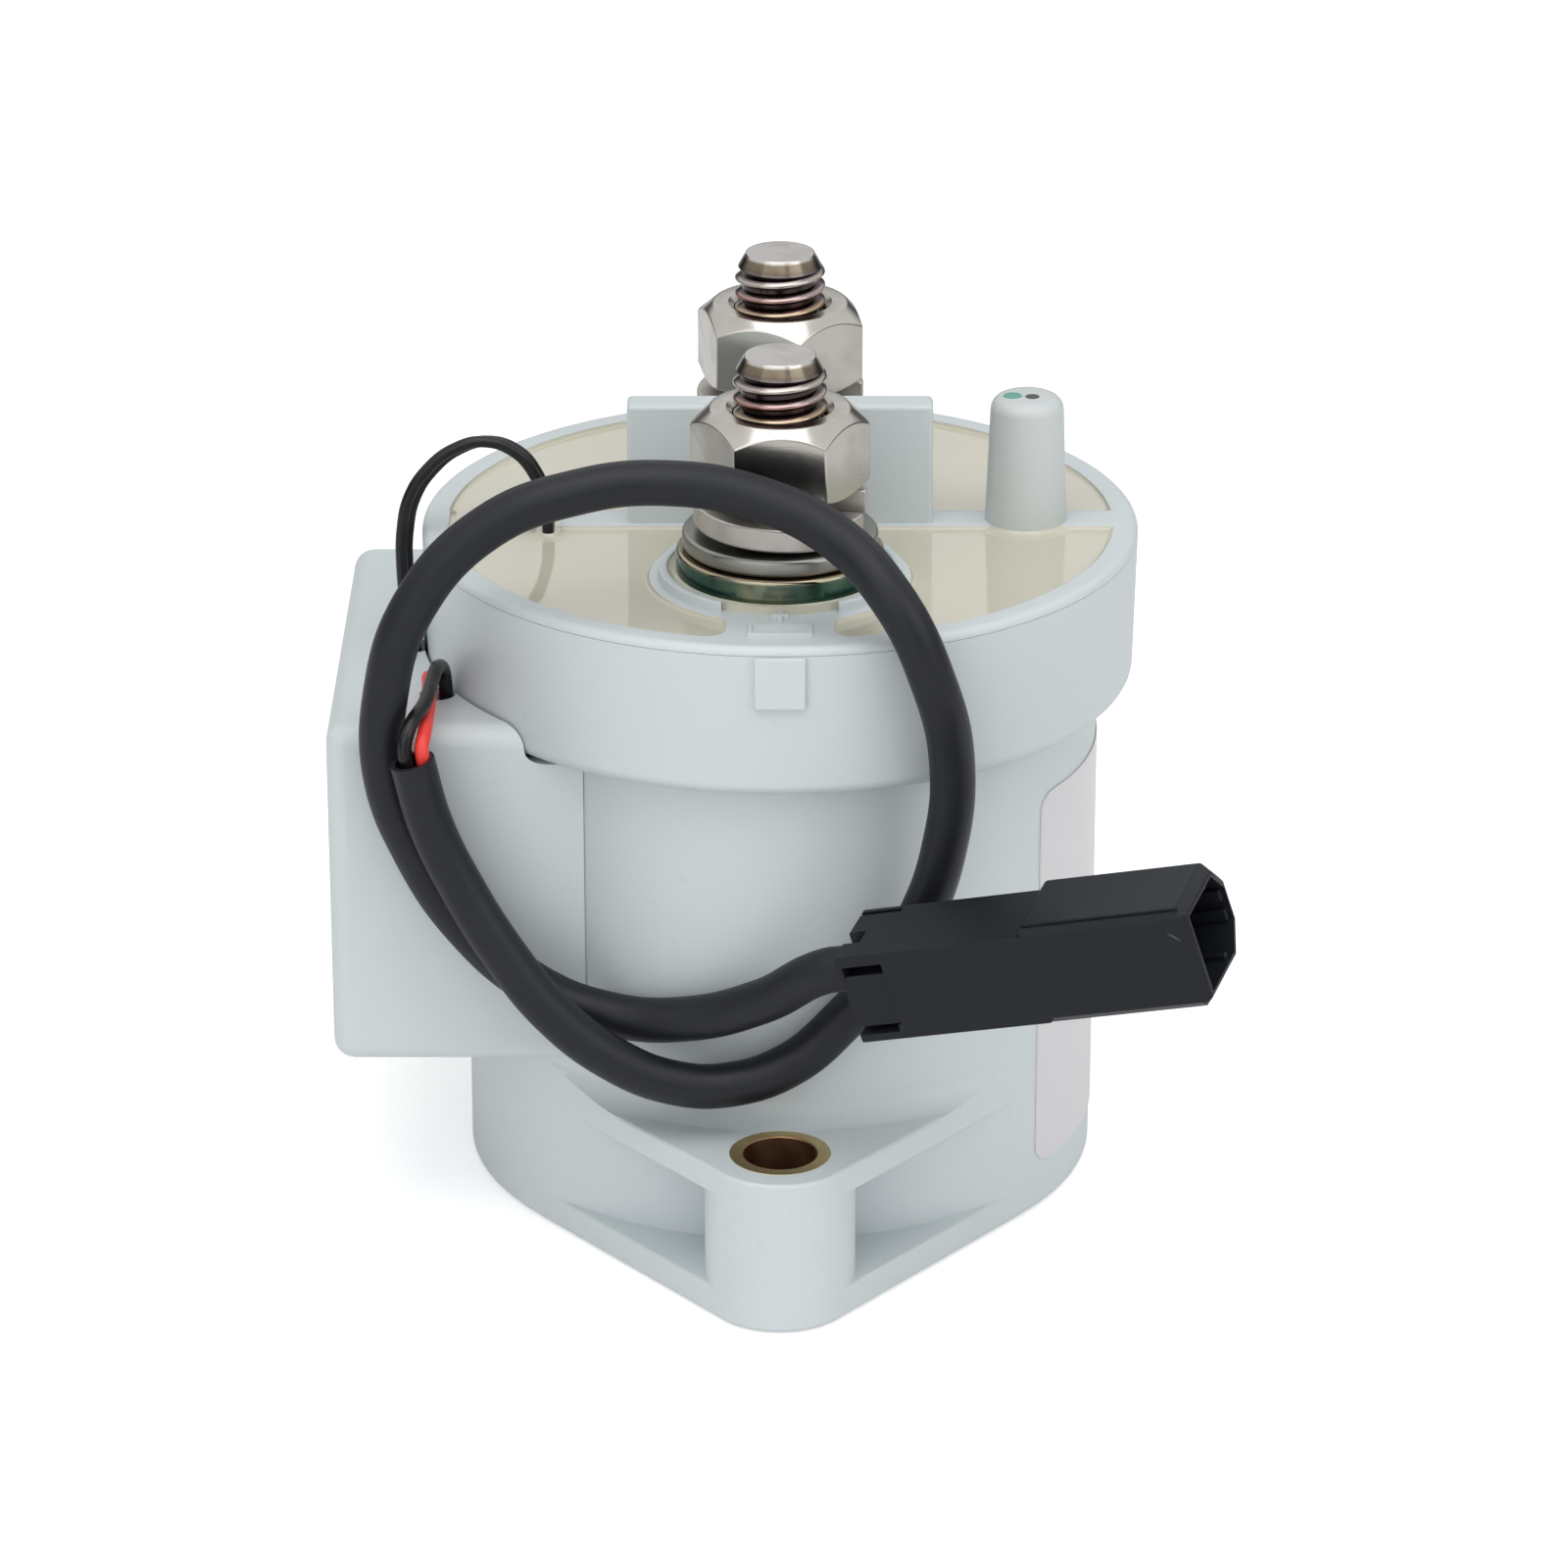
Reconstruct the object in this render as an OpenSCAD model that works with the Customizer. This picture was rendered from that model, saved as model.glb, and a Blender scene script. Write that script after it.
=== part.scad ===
// Sealed high voltage direct current contactor, lengths in millimetres.
// The origin is the middle of the base plane, +Z runs up the body's axis,
// the two ears lie along Y and the side box with the coil electronics on -X.

/* [Mounting base] */
// Distance between the centres of the two mounting holes
mount_spacing = 66.5; // [64:0.5:74]
// Height of the mounting ears
ear_h = 13.6; // [11:0.1:15]
// Diameter of the round boss at the tip of each ear
boss_d = 12.6; // [11:0.1:15]
// Thickness of the lower plate of an ear
ear_low_t = 2.6; // [1.5:0.1:3.5]
// Thickness of the upper plate of an ear
ear_high_t = 2.4; // [1.5:0.1:3.5]
// Fillet where the top of an ear runs up the body
ear_fillet = 2.4; // [1:0.1:3]
// Outside diameter of the pressed brass bush
bush_od = 8.5; // [7.6:0.1:9.5]
// Bore of the pressed brass bush
bush_id = 6.2; // [5.2:0.1:6.8]

/* [Housing] */
// Outside diameter of the round body
body_d = 54.6; // [53:0.2:57]
// Outside diameter of the collar at its rim
collar_d = 61.2; // [60:0.2:62]
// Height of the collar's lower edge above the base
collar_z = 44.4; // [42:0.1:46]
// Height of the rim above the base
rim_z = 57.8; // [57:0.2:60]
// Radius lost by the collar towards its lower edge
collar_draft = 0.3; // [0.1:0.05:0.5]
// Rounding of the collar's lower edge
collar_round = 1.2; // [0.4:0.1:1.5]
// Wall of the moulded housing
wall = 2.0; // [1.6:0.1:2.4]
// Thickness of the housing's floor
floor_t = 2.5; // [2:0.1:3]
// Wall of the collar outside the top cover's skirt
collar_wall = 1.2; // [1:0.1:1.5]
// Width of the raised key on the front of the collar
key_w = 4.2; // [3:0.1:6]
// Height of the raised key
key_h = 4.5; // [3:0.1:6]
// How far the key stands proud of the collar
key_t = 0.45; // [0.2:0.05:0.8]

/* [Top cover] */
// Thickness of the cover's lip on the collar
lip_t = 0.8; // [0.5:0.1:1.2]
// Width of the flat rim
rim_w = 2.2; // [1.9:0.1:3]
// Depth of the skirt inside the collar
skirt_h = 6.0; // [4:0.5:8]
// Width of the rib across the cover
rib_w = 3.9; // [3.2:0.1:4.4]
// Depth of ribs, rings and webs below the rim
frame_depth = 2.5; // [2:0.1:3]
// Length of the barrier between the terminals
barrier_l = 26.0; // [20:0.5:30]
// Thickness of the barrier
barrier_t = 3.0; // [2:0.1:3.6]
// Height of the barrier above the rim
barrier_h = 10.6; // [6:0.2:14]
// Outside diameter of the ring round a terminal
ring_d = 22.0; // [21.4:0.1:22.6]
// Inside diameter of the ring round a terminal
ring_id = 18.8; // [18.4:0.1:19.4]
// Wall of the raised edge on a ring
ring_edge_t = 0.8; // [0.5:0.1:1.1]
// Height of the raised edge on a ring
ring_edge_h = 0.9; // [0.4:0.1:1.5]
// Width of the opening in the raised edge
ring_gap = 9.7; // [6:0.1:12]
// Width of the web from a ring to the rim
web_w = 9.0; // [6:0.1:11]
// Fillet at the corners of the web
web_fillet = 1.6; // [0.8:0.1:2]
// Depth of the potting below the rim
potting_drop = 0.6; // [0.4:0.1:1]
// Depth of the potting's underside below the rim
potting_depth = 4.2; // [3.8:0.1:4.6]
// Height of the potting above the rim inside a ring
ring_potting_rise = 0.4; // [0.1:0.1:0.8]

/* [Terminals] */
// Distance between the axes of the two terminal studs
stud_spacing = 27.4; // [26.6:0.1:28.4]
// Outside diameter of the stud's thread
stud_d = 7.9; // [7.5:0.1:8.2]
// Height of the stud's end above the rim
stud_rise = 19.4; // [17:0.2:24]
// Diameter of the stud's seat flange
seat_d = 17.4; // [16.5:0.1:18]
// Height of the seat above the rim
seat_rise = 2.6; // [2:0.1:4]
// Thickness of the seat flange
seat_t = 3.9; // [3:0.1:4.5]
// Diameter of the stud's shank inside the chamber
shank_d = 12.0; // [10:0.1:13]
// Chamfer at the stud's end
stud_chamfer = 0.9; // [0.5:0.1:1.2]
// Diameter of the flat washer
washer_d = 16.4; // [15:0.1:17]
// Thickness of the flat washer
washer_t = 1.6; // [1.2:0.1:2]
// Diameter of the spring washer
spring_washer_d = 14.5; // [13.5:0.1:15]
// Thickness of the spring washer's strip
spring_washer_t = 2.0; // [1.6:0.1:2.2]
// Free height of the spring washer
spring_washer_free = 3.6; // [3.2:0.1:4.4]
// Width across the flats of the nut
nut_af = 13.0; // [12.5:0.1:13.5]
// Height of the nut
nut_h = 7.1; // [5.5:0.1:7.5]
// Turn of the rear nut against the front one, in degrees
rear_nut_turn = -17; // [-30:1:30]

/* [Tube cap] */
// Distance of the tube cap from the body's axis
cap_x = 21.0; // [20.4:0.1:21.2]
// Diameter of the cap at the rim's height
cap_base_d = 7.0; // [6:0.1:8]
// Diameter of the cap at its top
cap_top_d = 6.1; // [5.2:0.1:6.8]
// Height of the cap above the rim
cap_h = 11.1; // [8:0.1:14]
// Rounding of the cap's top edge
cap_round = 1.3; // [0.6:0.1:2]
// Outside diameter of the copper evacuation tube
tube_d = 3.0; // [2.4:0.1:3.2]

/* [Side box] */
// Distance of the box's outer face from the body's axis
box_reach = 37.9; // [36.5:0.1:42]
// Width of the box
box_w = 44.0; // [40:0.5:45]
// Height of the box's underside above the base
box_z = 16.5; // [15.5:0.5:20]
// Height of the box's top above the collar's lower edge
box_over_collar = 2.8; // [2.4:0.1:4]
// Wall of the box
box_wall = 1.8; // [1.4:0.1:2.2]
// Rounding of the box's outer edges
box_round = 1.8; // [1:0.1:2.5]
// Gap between the box and the collar
box_gap = 0.3; // [0.15:0.05:0.5]
// Radius of the wire notches in the box's top
notch_r = 1.5; // [1.3:0.1:1.8]
// Thickness of the circuit board
board_t = 1.6; // [1:0.1:2]

/* [Label] */
// Width of the blank label along the body's curve
label_w = 34.7; // [20:0.5:40]
// Height of the blank label
label_h = 34.6; // [20:0.5:36]
// Height of the label's lower edge above the base
label_z = 4.2; // [3:0.2:8]
// Thickness of the label
label_t = 0.15; // [0.1:0.05:0.3]
// Corner radius of the label
label_corner = 1.6; // [0.5:0.1:3]

/* [Magnet and contacts] */
// Wall of the steel yoke cup
yoke_wall = 1.5; // [1.2:0.1:1.8]
// Height of the steel yoke cup
yoke_h = 30.5; // [30:0.5:31]
// Thickness of the yoke's top plate
plate_t = 2.5; // [2:0.1:3]
// Diameter of the moving plunger
plunger_d = 17.2; // [15:0.1:18]
// Length of the moving plunger
plunger_l = 13.0; // [11:0.1:14]
// Wall of the sealed guide tube
guide_wall = 0.6; // [0.4:0.05:0.8]
// Wall of the coil bobbin
bobbin_wall = 1.1; // [0.8:0.1:1.4]
// Outside diameter of the coil winding
winding_d = 45.2; // [40:0.2:45.6]
// Diameter of the shaft
shaft_d = 5.0; // [4:0.1:5.4]
// Travel of the plunger
travel = 2.0; // [1.6:0.1:2.4]
// Open gap between the contacts
contact_gap = 1.5; // [1:0.1:1.5]
// Wire of both springs
spring_wire = 0.8; // [0.6:0.05:0.9]
// Width of the contact bridge
bridge_w = 12.0; // [10:0.5:13]
// Thickness of the contact bridge
bridge_t = 2.2; // [1.6:0.1:2.4]
// Diameter of a contact tip
tip_d = 8.0; // [6:0.1:9]
// Thickness of a contact tip
tip_t = 0.8; // [0.5:0.1:1]
// Working length of the contact spring
contact_spring_l = 4.0; // [3.6:0.1:4.2]
// Wall of the ceramic arc chamber
chamber_wall = 2.1; // [1.8:0.1:2.2]
// Thickness of the ceramic ceiling
ceiling_t = 4.0; // [3.4:0.1:4.2]
// Thickness of a blow-out magnet
magnet_t = 2.8; // [2:0.1:3]

/* [Cable and connector] */
// Diameter of the black sleeve
sleeve_d = 3.8; // [3.2:0.1:4]
// Diameter of a supply lead
lead_d = 1.2; // [0.9:0.05:1.25]
// Diameter of a coil lead
coil_lead_d = 1.0; // [0.8:0.05:1]
// Length of the connector
connector_l = 31.0; // [28:0.5:34]
// Width of the connector's hood
connector_w = 10.2; // [9.6:0.1:11.5]
// Height of the connector's hood
connector_h = 9.2; // [8.8:0.1:10.5]
// Length of the connector's hood
hood_l = 15.0; // [14:0.5:17]
// Wall of the connector's hood
hood_wall = 1.1; // [0.8:0.1:1.3]
// Depth of the connector's socket
socket_l = 13.0; // [11:0.5:13.5]
// Length of the pins inside the socket
pin_l = 6.0; // [4:0.5:8]

/* [Fits] */
// Gap between fixed pieces that fit in one another
fit = 0.05; // [0.03:0.01:0.08]
// Radial gap of a sliding or turning fit
slide_fit = 0.08; // [0.05:0.01:0.1]

/* [Hidden] */
$fn = 96;

// How far a cutter runs past the face that it cuts
past = 1;
body_r = body_d / 2;
collar_r = collar_d / 2;
boss_r = boss_d / 2;
ear_y = mount_spacing / 2;
// Slope of the ear's straight sides, which are tangent to the body and to the boss
ear_slope = asin((body_r - boss_r) / ear_y);
// The straight sides lie this far inside the true tangent
tangent_inset = 0.04;

seam_z = rim_z - lip_t;
collar_low_r = collar_r - collar_draft;
collar_in_r = collar_r - collar_wall;
cavity_r = body_r - wall;
ledge_z = collar_z + wall;
cover_in_r = collar_r - rim_w;
frame_z = rim_z - frame_depth;
pool_z = rim_z - potting_drop;
ring_pool_z = rim_z + ring_potting_rise;
stud_y = stud_spacing / 2;
ring_r = ring_d / 2;
ring_in_r = ring_id / 2;

// Magnet system, from the floor up
yoke_r = cavity_r - 2 * fit;
yoke_z = floor_t;
bobbin_z = yoke_z + yoke_wall;
plate_z = yoke_z + yoke_h;
plate_top = plate_z + plate_t;
plunger_r = plunger_d / 2;
guide_in_r = plunger_r + slide_fit;
guide_r = guide_in_r + guide_wall;
bobbin_r = guide_r + fit + bobbin_wall;
bobbin_flange_r = yoke_r - yoke_wall - 0.3;
shaft_r = shaft_d / 2;
// Play under the plunger, and the shim gap left above it when it is pulled in
plunger_play = 0.4;
shim_gap = 0.1;
plunger_z = bobbin_z + guide_wall + plunger_play;
plunger_top = plunger_z + plunger_l;
core_z = plunger_top + travel + shim_gap;
// Counterbore of the core that holds the return spring
spring_pocket = 7;
spring_r = shaft_r + spring_wire + 0.9;
spring_turns = 6;

// Contact system, from the core up
seat_play = 0.8;
seat_cup_t = 1.2;
seat_cup_z = plate_top + seat_play;
contact_spring_z = seat_cup_z + seat_cup_t;
bridge_z = contact_spring_z + contact_spring_l;
bridge_top = bridge_z + bridge_t;
bridge_half = stud_y + tip_d / 2 + 1.2;
tip_top = bridge_top + tip_t;
// The closed contacts stop this far from the studs
closed_gap = 0.05;
stud_z = tip_top + contact_gap + closed_gap;
clip_t = 0.8;
clip_r = shaft_r + 2;
shaft_top = bridge_top + fit + clip_t + 0.9;

// Ceramic chamber and magnets beside it
chamber_r = cavity_r - 0.3;
chamber_in_r = chamber_r - chamber_wall;
potting_z = rim_z - potting_depth;
chamber_top = potting_z - 2 * fit;
ceiling_z = chamber_top - ceiling_t;
magnet_h = 6;
magnet_half_angle = 26;

// Terminal stack
seat_top = rim_z + seat_rise;
seat_z = seat_top - seat_t;
seat_r = seat_d / 2;
stud_r = stud_d / 2;
stud_top = rim_z + stud_rise;
spring_washer_z = seat_top + washer_t;
nut_z = spring_washer_z + spring_washer_free;
washer_hole_r = stud_r + 0.25;

tube_r = tube_d / 2;
// Depth of the cap's foot in the potting, and its wall over the end of the tube
cap_sunk = 1.4;
cap_cover = 3;
cap_z = pool_z - cap_sunk;
tube_top = rim_z + cap_h - cap_cover;

// Side box
box_top = collar_z + box_over_collar;
box_h = box_top - box_z;
box_inner_x = -body_r / 2;
board_x = -box_reach + box_wall + 1.2;
board_face = board_x + board_t;
// Free depth between the board and the body, and the middle of the board's height
board_room = -board_face - body_r;
board_mid_z = box_z + box_h / 2;

// Connector: place of its mouth, and its turn about X, Y and Z in degrees
connector_mouth = [34.8, -47, 40.2];
connector_turn = [9, -15.6, -21.7];
retainer_l = 3;
// Bare length of the leads between the sleeve's end and the connector
lead_stub = 1.2;
hood_step = 0.8;
hood_step_low = 0.3;
key_chamfer = [2.3, 2.6];
pin_pitch = 3.8;
pin_r = 0.7;

function unit(v) = v / norm(v);
function along_connector(x) =
    let (pitch = connector_turn[1], yaw = connector_turn[2])
    connector_mouth + x * [cos(pitch) * cos(yaw), cos(pitch) * sin(yaw), -sin(pitch)];
function arc(centre, r, from, to, steps = 6) =
    [for (i = [0 : steps]) let (a = from + (to - from) * i / steps) centre + r * [cos(a), sin(a)]];
function on_circle(r, angle, z) = [r * cos(angle), r * sin(angle), z];

// Middle of the two notches in the box's top, for the coil leads and for the supply leads
coil_notch = on_circle(collar_r + notch_r / 2 + 0.1, 185.5, box_top);
lead_notch = on_circle(collar_r + notch_r, 206, box_top);
// Length of the supply leads inside the box, down to their terminal block
lead_drop = 14;

// Route of the sleeve, from its mouth by the side box round the loop to the connector
sleeve_route = concat([
    [-30.3, -27.7, 46.7], [-28.9, -27.4, 40.9], [-26.5, -27.8, 35.6], [-23, -29, 30],
    [-19, -30, 25], [-14, -30.5, 21], [-9, -30.5, 18.8], [-4, -30, 18.4],
    [1, -29.5, 20.1], [5.2, -29, 23.8], [8.8, -29, 28.3], [11.6, -29, 33.2],
    [13.5, -29.5, 39.5], [14.1, -30.3, 47.3],
    [12.4, -31.7, 55.4], [9, -30.6, 62.25], [4.2, -26.4, 66.1], [-2, -23.8, 68.3],
    [-9.5, -23, 69.3], [-16.5, -23.5, 68.7], [-23.8, -24, 65.9], [-30, -24.5, 59.2],
    [-32.6, -24.5, 51], [-32.7, -24.5, 44], [-30.4, -24.5, 37.2], [-26.3, -24.5, 30.4],
    [-20.6, -24.5, 25], [-14.3, -26, 23], [-8, -28.5, 23.7], [-1.5, -31.5, 26.7]],
    [along_connector(-connector_l - lead_stub - 2.5), along_connector(-connector_l - lead_stub)]);

// Route of the coil leads, from the potting over the rim and down along the circuit board
coil_lead_route = [
    [-19.7, 0, pool_z + 2 * fit], [-19.8, 0, rim_z + 2.2], [-20.6, 0, rim_z + 4.9],
    [-22.3, 0, rim_z + 7], [-24.8, 0, rim_z + 7.8], [-27.2, 0, rim_z + 7.1], [-29.4, 0, rim_z + 5.3],
    [-31, 0, rim_z + 2.8], [-31.7, 0, rim_z - 0.3], [-31.8, 0, rim_z - 3.7],
    [-31.6, 0, box_top + 3.4], [coil_notch.x, 0, box_top + 0.4], [coil_notch.x, 0, box_top - 2.2],
    [coil_notch.x - 0.6, 0, box_top - 4.5], [board_face + coil_lead_d / 2 + fit, 0, box_top - 7],
    [board_face + coil_lead_d / 2 + fit, 0, box_top - 9]];
coil_lead_pitch = 1.05;
// The front coil lead stands up and out from the rear one by this much at the top of its loop
coil_lead_spread = [-0.45, 0, 0.45];

// Route of the supply leads, from the terminal block over the box's edge to the sleeve's mouth
lead_route = concat([for (drop = [lead_drop, 11, 8, 5, 2, -0.6]) lead_notch - [0, 0, drop]],
    [[-28.9, -14.9, 49.3], [-29, -17, 50.1], [-29.1, -20, 49.9], [-29.3, -23.4, 49.5],
    [-29.95, -26.6, 48.75], [-30.2, -27.45, 47.55]]);
// Turn of the pair of supply leads about its route, half round in all, at each of its points
lead_turn = [0, 0, 0, 0, 0, 0, 30, 60, 80, 95, 150, 180];
lead_pitch = 1.42;

// A tube swept along points: one ring of corners square to the path at each point
module swept(route, r, sides, side_hint) {
    last = len(route) - 1;
    points = [for (i = [0 : last])
        let (t = unit(route[min(i + 1, last)] - route[max(i - 1, 0)]),
            u = unit(cross(t, side_hint)),
            v = cross(t, u))
        for (k = [0 : sides - 1])
            route[i] + r * (cos(360 * k / sides) * u + sin(360 * k / sides) * v)];
    walls = [for (i = [0 : last - 1], k = [0 : sides - 1])
        let (a = i * sides + k, b = i * sides + (k + 1) % sides)
        each [[a, b, b + sides], [a, b + sides, a + sides]]];
    start = [[for (k = [sides - 1 : -1 : 0]) k]];
    end = [[for (k = [0 : sides - 1]) last * sides + k]];
    polyhedron(points, concat(walls, start, end));
}

// A coil spring about the Z axis
module coil_spring(r, wire_r, z0, z1, turns) {
    steps = 14 * turns;
    route = [for (i = [0 : steps])
        on_circle(r, 360 * turns * i / steps, z0 + wire_r + (z1 - z0 - 2 * wire_r) * i / steps)];
    swept(route, wire_r, 6, [0, 0, 1]);
}

module ring(r_in, r_out, z0, z1) {
    rotate_extrude() translate([r_in, z0]) square([r_out - r_in, z1 - z0]);
}

module at_studs(sides = [-1, 1]) {
    for (side = sides) translate([0, side * stud_y, 0]) children();
}

// A plan extruded along X, with the plan's X on Y and its Y on Z
module along_x(x0, x1) {
    translate([x0, 0, 0]) rotate([90, 0, 90]) linear_extrude(x1 - x0) children();
}

module rounded_rect(x0, y0, x1, y1, r) {
    translate([x0 + r, y0]) square([x1 - x0 - 2 * r, y1 - y0]);
    translate([x0, y0 + r]) square([x1 - x0, y1 - y0 - 2 * r]);
    for (x = [x0 + r, x1 - r], y = [y0 + r, y1 - r]) translate([x, y]) circle(r, $fn = 32);
}

// Housing: one moulding of cup, collar and two ears

module ear_sides() {
    c = cos(ear_slope);
    s = sin(ear_slope);
    near = body_r - tangent_inset;
    far = boss_r - tangent_inset;
    polygon([[-near * c, near * s], [near * c, near * s],
        [far * c, ear_y + far * s], [-far * c, ear_y + far * s]]);
}

module ear_fillet_ring() {
    sunk = 0.5;
    foot = [body_r + ear_fillet, ear_h + ear_fillet];
    rotate_extrude() polygon(concat(
        [[body_r - sunk, foot.y], [body_r - sunk, ear_h - sunk], [foot.x, ear_h - sunk]],
        arc(foot, ear_fillet, 270, 180)));
}

module ear() {
    linear_extrude(ear_low_t) ear_sides();
    translate([0, 0, ear_h - ear_high_t]) linear_extrude(ear_high_t) ear_sides();
    translate([0, ear_y, 0]) cylinder(r = boss_r, h = ear_h);
    intersection() {
        ear_fillet_ring();
        linear_extrude(ear_h + ear_fillet + past) ear_sides();
    }
}

module housing() color([0.82, 0.85, 0.86]) difference() {
    union() {
        rotate_extrude() polygon(concat(
            [[0, 0], [body_r, 0], [body_r, collar_z]],
            arc([collar_low_r - collar_round, collar_z + collar_round], collar_round, 270, 360),
            [[collar_r, seam_z], [collar_in_r, seam_z], [collar_in_r, ledge_z],
                [cavity_r, ledge_z], [cavity_r, floor_t], [0, floor_t]]));
        for (side = [0, 1]) mirror([0, side, 0]) difference() {
            ear();
            translate([0, 0, -past]) cylinder(r = body_r - wall / 2, h = ear_h + ear_fillet + 3 * past);
        }
        translate([-key_w / 2, -collar_r - key_t, seam_z - key_h])
            cube([key_w, key_t + collar_wall / 2, key_h]);
    }
    for (side = [-1, 1]) translate([0, side * ear_y, -past])
        cylinder(r = bush_od / 2 + fit, h = ear_h + 2 * past);
}

module bush(side) color([0.72, 0.58, 0.30])
    translate([0, side * ear_y, 0]) ring(bush_id / 2, bush_od / 2, 0, ear_h);
module bush_front() bush(-1);
module bush_rear() bush(1);

// Magnet system

module yoke_cup() color([0.55, 0.56, 0.58]) rotate_extrude() polygon([
    [0, yoke_z], [yoke_r, yoke_z], [yoke_r, plate_z], [yoke_r - yoke_wall, plate_z],
    [yoke_r - yoke_wall, bobbin_z], [0, bobbin_z]]);

module coil_bobbin() color([0.16, 0.16, 0.17]) rotate_extrude() polygon([
    [guide_r + fit, bobbin_z], [bobbin_flange_r, bobbin_z],
    [bobbin_flange_r, bobbin_z + bobbin_wall], [bobbin_r, bobbin_z + bobbin_wall],
    [bobbin_r, plate_z - bobbin_wall], [bobbin_flange_r, plate_z - bobbin_wall],
    [bobbin_flange_r, plate_z], [guide_r + fit, plate_z]]);

module coil_winding() color([0.60, 0.33, 0.16])
    ring(bobbin_r + fit, winding_d / 2, bobbin_z + bobbin_wall + fit, plate_z - bobbin_wall - fit);

module guide_tube() color([0.70, 0.70, 0.71]) rotate_extrude() polygon([
    [0, bobbin_z], [guide_r, bobbin_z], [guide_r, plate_z], [guide_in_r, plate_z],
    [guide_in_r, bobbin_z + guide_wall], [0, bobbin_z + guide_wall]]);

module plunger() color([0.62, 0.62, 0.64])
    ring(shaft_r + fit, plunger_r, plunger_z, plunger_top);

module shaft() color([0.75, 0.75, 0.76])
    translate([0, 0, plunger_z]) cylinder(r = shaft_r, h = shaft_top - plunger_z);

module return_spring() color([0.66, 0.66, 0.68])
    coil_spring(spring_r, spring_wire / 2, plunger_top, core_z + spring_pocket, spring_turns);

module fixed_core() color([0.58, 0.58, 0.60]) rotate_extrude() polygon([
    [spring_r + spring_wire / 2 + 0.6, core_z], [guide_in_r - fit, core_z],
    [guide_in_r - fit, plate_top], [shaft_r + slide_fit, plate_top],
    [shaft_r + slide_fit, core_z + spring_pocket],
    [spring_r + spring_wire / 2 + 0.6, core_z + spring_pocket]]);

module top_plate() color([0.55, 0.56, 0.58]) ring(guide_in_r, yoke_r, plate_z, plate_top);

// Contact system

module spring_seat() color([0.30, 0.26, 0.22])
    ring(shaft_r + fit, spring_r + spring_wire + 0.6, seat_cup_z, contact_spring_z);

module contact_spring() color([0.66, 0.66, 0.68])
    coil_spring(spring_r, spring_wire / 2, contact_spring_z, bridge_z, 3);

module contact_bridge() color([0.80, 0.50, 0.32]) difference() {
    translate([-bridge_w / 2, -bridge_half, bridge_z]) cube([bridge_w, 2 * bridge_half, bridge_t]);
    translate([0, 0, bridge_z - past]) cylinder(r = shaft_r + slide_fit, h = bridge_t + 2 * past);
}

module contact_tips() color([0.78, 0.77, 0.74])
    at_studs() translate([0, 0, bridge_top]) cylinder(d = tip_d, h = tip_t);

module retaining_clip() color([0.45, 0.46, 0.48])
    ring(shaft_r + fit, clip_r, bridge_top + fit, bridge_top + fit + clip_t);

module arc_chamber() color([0.93, 0.92, 0.88]) difference() {
    rotate_extrude() polygon([
        [chamber_in_r, plate_top], [chamber_r, plate_top], [chamber_r, chamber_top],
        [0, chamber_top], [0, ceiling_z], [chamber_in_r, ceiling_z]]);
    at_studs() translate([0, 0, ceiling_z - past]) cylinder(d = shank_d + 2 * fit, h = ceiling_t + 2 * past);
    translate([cap_x, 0, ceiling_z - past]) cylinder(r = tube_r + fit, h = ceiling_t + 2 * past);
}

module magnet(centre_angle) color([0.34, 0.34, 0.36])
    rotate(centre_angle - magnet_half_angle)
        rotate_extrude(angle = 2 * magnet_half_angle)
            translate([chamber_r + 2 * fit, ledge_z]) square([magnet_t, magnet_h]);
module magnet_left() magnet(180);
module magnet_right() magnet(0);

// Copper tube through which the chamber was emptied, pinched shut at its top
module evacuation_tube() color([0.76, 0.45, 0.30]) translate([cap_x, 0, 0]) rotate_extrude() polygon([
    [tube_r / 2, ceiling_z], [tube_r, ceiling_z], [tube_r, tube_top - tube_r], [tube_r / 3, tube_top],
    [0, tube_top], [0, tube_top - tube_r], [tube_r / 2, tube_top - 2 * tube_r]]);

// Terminal stud, turned in one piece: contact end, shank, seat flange and thread
module stud(side) color([0.74, 0.66, 0.58]) translate([0, side * stud_y, 0]) rotate_extrude() polygon([
    [0, stud_z], [shank_d / 2 - stud_chamfer, stud_z], [shank_d / 2, stud_z + stud_chamfer],
    [shank_d / 2, seat_z], [seat_r, seat_z], [seat_r, seat_top], [stud_r, seat_top],
    [stud_r, stud_top - stud_chamfer], [stud_r - stud_chamfer, stud_top], [0, stud_top]]);
module stud_front() stud(-1);
module stud_rear() stud(1);

// Top cover: rim, skirt, cross rib, barrier, terminal rings and webs

// Fillets between a web's side, the rim and the terminal ring; each one bites a little
// into the round wall where it would end in a tangent
module web_corners(side) {
    x = web_w / 2;
    f = web_fillet;
    bite = 0.1;
    short = 12;
    mid_x = x + f;
    rim_mid = sqrt(pow(cover_in_r - f, 2) - mid_x * mid_x);
    ring_mid = sqrt(pow(ring_r + f, 2) - mid_x * mid_x);
    rim_angle = atan2(rim_mid, mid_x);
    ring_angle = atan2(ring_mid, mid_x);
    rim_end = (cover_in_r + bite) * [cos(rim_angle), sin(rim_angle)];
    ring_end = (ring_r - bite) * [cos(ring_angle), sin(ring_angle)];
    for (m = [0, 1]) mirror([m, 0]) mirror([0, side < 0 ? 1 : 0]) {
        polygon(concat([[x - f, rim_mid]], arc([mid_x, rim_mid], f, 180, rim_angle + short),
            [rim_end, [x - f, cover_in_r]]));
        translate([0, stud_y]) polygon(concat([[x - f, ring_mid]],
            arc([mid_x, ring_mid], f, 180, 180 + ring_angle - short), [ring_end, [0, 0]]));
    }
}

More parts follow.
